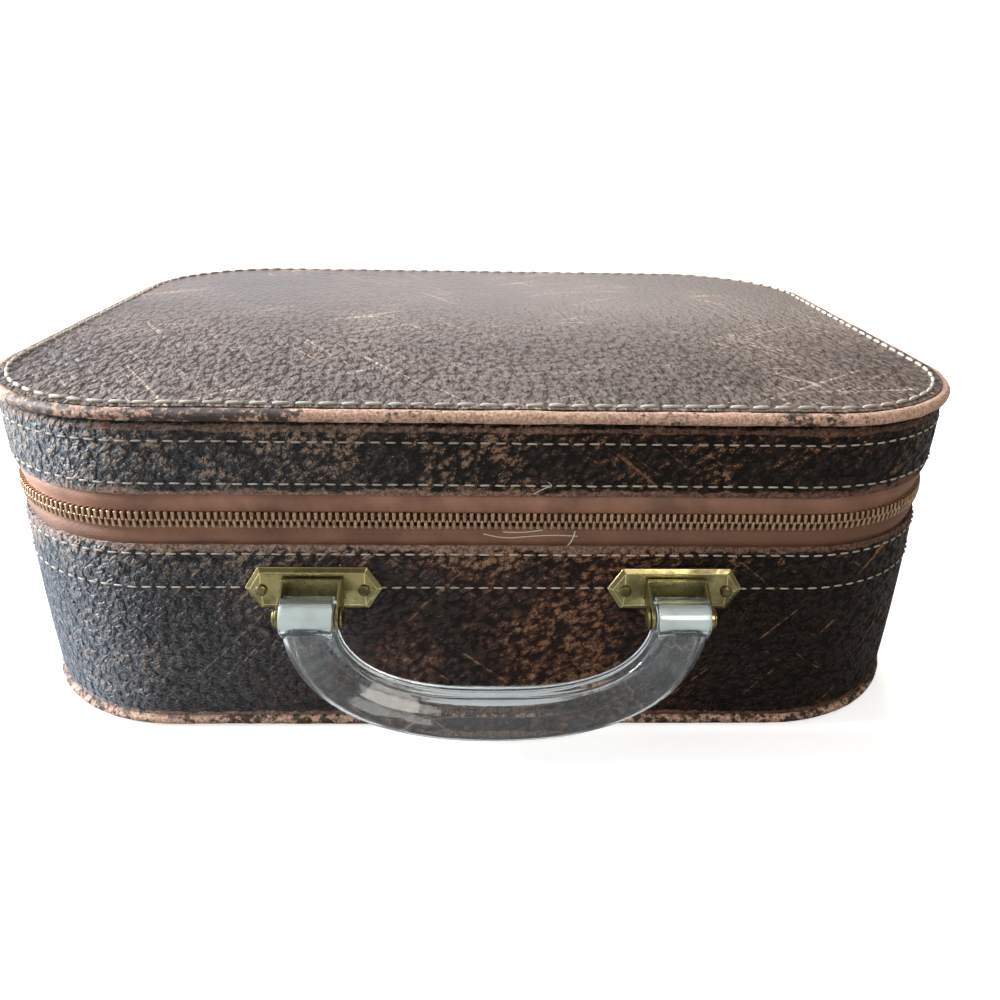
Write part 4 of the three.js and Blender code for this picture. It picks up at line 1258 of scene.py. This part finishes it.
class TRAINCASE_OT_brackets(bpy.types.Operator):
    """Finish the brass brackets, their pins, rivets and washers"""

    bl_idname = "traincase.brackets"
    bl_label = "Brass Brackets"

    def execute(self, context):
        brass = metal_look("bracket brass", tuple(colours().brass), 0.7, 0.2, 150.0)
        # Brighter brass for the plates' bevel faces: a painted highlight along the edges.
        rubbed = metal_look("rubbed brass edge", scaled(colours().brass, 1.9), 0.3, 0.24, 150.0)
        dull = metal_look("rivet brass", scaled(colours().brass, 0.55), 0.7, 0.36, 150.0)
        steel = metal_look("washer steel", tuple(colours().steel), 0.3, 0.3, 200.0)
        for side in ("left", "right"):
            plate = self.plate(f"handle_plate_{side}", brass, rubbed)
            finish_piece(plate, None, BODY, "bracket_brass", f"handle_plate_{side}")
            clevis = refined(f"handle_clevis_{side}", 0.25 * MM)
            finish_piece(clevis, brass, BODY, "bracket_brass", f"handle_clevis_{side}")
            pin = refined(f"handle_pin_{side}", 0.2 * MM)
            finish_piece(pin, brass, BODY, "bracket_brass", f"handle_pin_{side}")
            for place in ("outer", "inner"):
                rivet = refined(f"rivet_{side}_{place}", 0.15 * MM)
                finish_piece(rivet, dull, BODY, "bracket_brass", f"rivet_{side}_{place}")
                washer = refined(f"rivet_washer_{side}_{place}", 0.12 * MM)
                finish_piece(washer, steel, BODY, "steel", f"rivet_washer_{side}_{place}")
        return {"FINISHED"}

    def plate(self, cad, brass, rubbed):
        """A six-sided plate with bevelled sides, a low ridge along its middle and bevel faces in brighter
        brass as a painted highlight.
        """
        low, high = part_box(cad)
        point = 4.5 * MM  # how far each pointed end stands out
        centre, middle = (low.x + high.x) / 2, (low.z + high.z) / 2
        deselect()
        bpy.ops.mesh.primitive_plane_add(
            size=1, location=(centre, high.y, middle), rotation=(math.pi / 2, 0, 0)
        )
        obj = bpy.context.active_object
        obj.scale = (high.x - low.x - 2 * point, high.z - low.z, 1)
        obj = fresh(cad + "_pressed")
        edit(obj, "EDGE")
        pick(obj, lambda _, along: abs(along.z) > 0.9, "edges")
        bpy.ops.mesh.subdivide(number_cuts=1)
        bpy.ops.mesh.select_mode(type="VERT")
        for side in (-1, 1):
            pick(obj, lambda at, _: abs(at.z - middle) < 0.1 * MM and side * (at.x - centre) > 0)
            bpy.ops.transform.translate(value=(side * point, 0, 0))
        bpy.ops.mesh.select_mode(type="FACE")
        bpy.ops.mesh.select_all(action="SELECT")
        bpy.ops.mesh.extrude_region_move(TRANSFORM_OT_translate={"value": (0, -0.9 * MM, 0)})
        bpy.ops.mesh.inset(thickness=1.5 * MM, depth=0.8 * MM)
        bpy.ops.mesh.extrude_region_move(TRANSFORM_OT_translate={"value": (0, -0.7 * MM, 0)})
        bpy.ops.transform.resize(value=(1, 1, 0.04), center_override=(centre, high.y, middle))
        bpy.ops.mesh.select_all(action="SELECT")
        bpy.ops.mesh.normals_make_consistent(inside=False)
        done()
        obj.data.materials.append(brass)
        obj.data.materials.append(rubbed)
        # The bevel faces take the second material, the brighter brass: painted highlight.
        shape_with(
            obj, "BEVEL", width=0.2 * MM, segments=3, limit_method="ANGLE", angle_limit=math.radians(9),
            material=1,
        )
        smooth(obj, 50, flat_faces=True)
        return obj


class TRAINCASE_OT_inside(bpy.types.Operator):
    """Make the cloth lining and the bottom's leather, and finish the boards and the mirror"""

    bl_idname = "traincase.inside"
    bl_label = "Lining, Boards and Mirror"

    def execute(self, context):
        lining = cloth_look("lining cloth", tuple(colours().lining))
        for cad, body in (("body_lining_wall", BODY), ("lid_lining_wall", LID)):
            low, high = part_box(cad)
            wall = band(
                cad + "_cloth", plan_points(HALF_WIDTH - high.x), low.z, high.z,
                lambda t: 0.0, max(6, round((high.z - low.z) / (4 * MM))), 0.8 * MM, column=4 * MM,
            )
            ripple(wall, 26 * MM, 1.1 * MM)
            smooth(wall, 60)
            finish_piece(wall, lining, body, "lining", cad)
        for cad, body, lift in (("body_lining_floor", BODY, 0.7), ("lid_lining_top", LID, -0.7)):
            low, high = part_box(cad)
            floor = sheet(cad + "_cloth", HALF_WIDTH - high.x, low.z, high.z, 72, 54)
            ripple(floor, 30 * MM, lift * MM, "Z", 0.0)
            smooth(floor, 60)
            finish_piece(floor, lining, body, "lining", cad)
        low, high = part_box("bottom_leather")
        under = sheet("bottom_hide", HALF_WIDTH - high.x, low.z, high.z, 72, 54)
        ripple(under, 45 * MM, 0.35 * MM, "Z", 0.0)
        smooth(under, 60)
        hide = hide_look("bottom leather", tuple(colours().hide), 0.5, gloss=0.5)
        finish_piece(under, hide, BODY, "leather_dark", "bottom_leather")
        trim = hide_look(
            "mirror frame leather", tuple(colours().hide), 0.0, gloss=0.4, pebble=1.4 * MM, lift=1.2
        )
        surround = refined("mirror_frame", 0.7 * MM)
        finish_piece(surround, trim, LID, "leather_dark", "mirror_frame")
        for look, names in (
            (lining, ("body_frame", "lid_frame")), (board_look(), ("bottom_board", "lid_top_board")),
            (mirror_look(), ("lid_mirror",)),
        ):
            for name in names:
                data = frame["nodes"][name].data
                data.materials.clear()
                data.materials.append(look)
        return {"FINISHED"}


class TRAINCASE_OT_loose_threads(bpy.types.Operator):
    """Lay a few broken threads on the front of the zip"""

    bl_idname = "traincase.loose_threads"
    bl_label = "Loose Threads"

    def execute(self, context):
        white = thread_look("loose thread", (0.66, 0.57, 0.48))
        front = -HALF_DEPTH
        runs = (
            ("loose_thread_a", BODY,
             ((2, 0.9, 74.6), (8, 1.5, 73.2), (16, 1.0, 73.9), (24, 1.4, 74.6), (31, 1.0, 74.0))),
            ("loose_thread_b", BODY, ((8, 0.8, 75.3), (14, 1.4, 75.0), (20, 1.2, 76.2))),
            ("loose_thread_c", LID, ((17, 1.2, 88.2), (20, 1.9, 90.6), (23, 1.5, 90.9), (21, 1.8, 92.4))),
            ("loose_thread_d", BODY, ((28, 0.9, 70.6), (29.5, 2.2, 73.0), (30, 1.6, 76.0))),
        )
        for name, body, spots in runs:
            curve = bpy.data.curves.new(name, "CURVE")
            curve.dimensions = "3D"
            spline = curve.splines.new("NURBS")
            spline.points.add(len(spots) - 1)
            for point, (x, out, z) in zip(spline.points, spots):
                point.co = (x * MM, front - out * MM, z * MM, 1)
            spline.use_endpoint_u = True
            spline.order_u = 3
            spline.resolution_u = 8
            curve.bevel_depth = 0.15 * MM
            curve.bevel_resolution = 2
            curve.use_fill_caps = True
            obj = bpy.data.objects.new(name, curve)
            context.scene.collection.objects.link(obj)
            only(obj)
            bpy.ops.object.convert(target="MESH")
            obj = bpy.context.active_object
            smooth(obj, 60)
            finish_piece(obj, white, body, "leather_dark")
        return {"FINISHED"}


STEPS = (
    TRAINCASE_OT_stage, TRAINCASE_OT_lid_top, TRAINCASE_OT_rolls, TRAINCASE_OT_bands, TRAINCASE_OT_zip,
    TRAINCASE_OT_hinge, TRAINCASE_OT_slider, TRAINCASE_OT_handle, TRAINCASE_OT_brackets,
    TRAINCASE_OT_inside, TRAINCASE_OT_loose_threads,
)


class TRAINCASE_PT_panel(bpy.types.Panel):
    """Lists the case's sizes, colours and building steps"""

    bl_idname = "TRAINCASE_PT_panel"
    bl_label = "Train Case"
    bl_space_type = "VIEW_3D"
    bl_region_type = "UI"
    bl_category = "Train Case"

    def draw(self, context):
        for settings in (context.scene.train_case_sizes, context.scene.train_case_colours):
            column = self.layout.column()
            for key in settings.__annotations__:
                column.prop(settings, key)
        for step in STEPS:
            self.layout.operator(step.bl_idname)


CLASSES = (TrainCaseSizes, TrainCaseColours, *STEPS, TRAINCASE_PT_panel)


def register():
    for cls in CLASSES:
        bpy.utils.register_class(cls)
    bpy.types.Scene.train_case_sizes = PointerProperty(type=TrainCaseSizes)
    bpy.types.Scene.train_case_colours = PointerProperty(type=TrainCaseColours)


def unregister():
    del bpy.types.Scene.train_case_colours
    del bpy.types.Scene.train_case_sizes
    for cls in reversed(CLASSES):
        bpy.utils.unregister_class(cls)


def main():
    register()
    for step in STEPS:
        group_name, operator = step.bl_idname.split(".")
        getattr(getattr(bpy.ops, group_name), operator)()


if __name__ == "__main__":
    main()
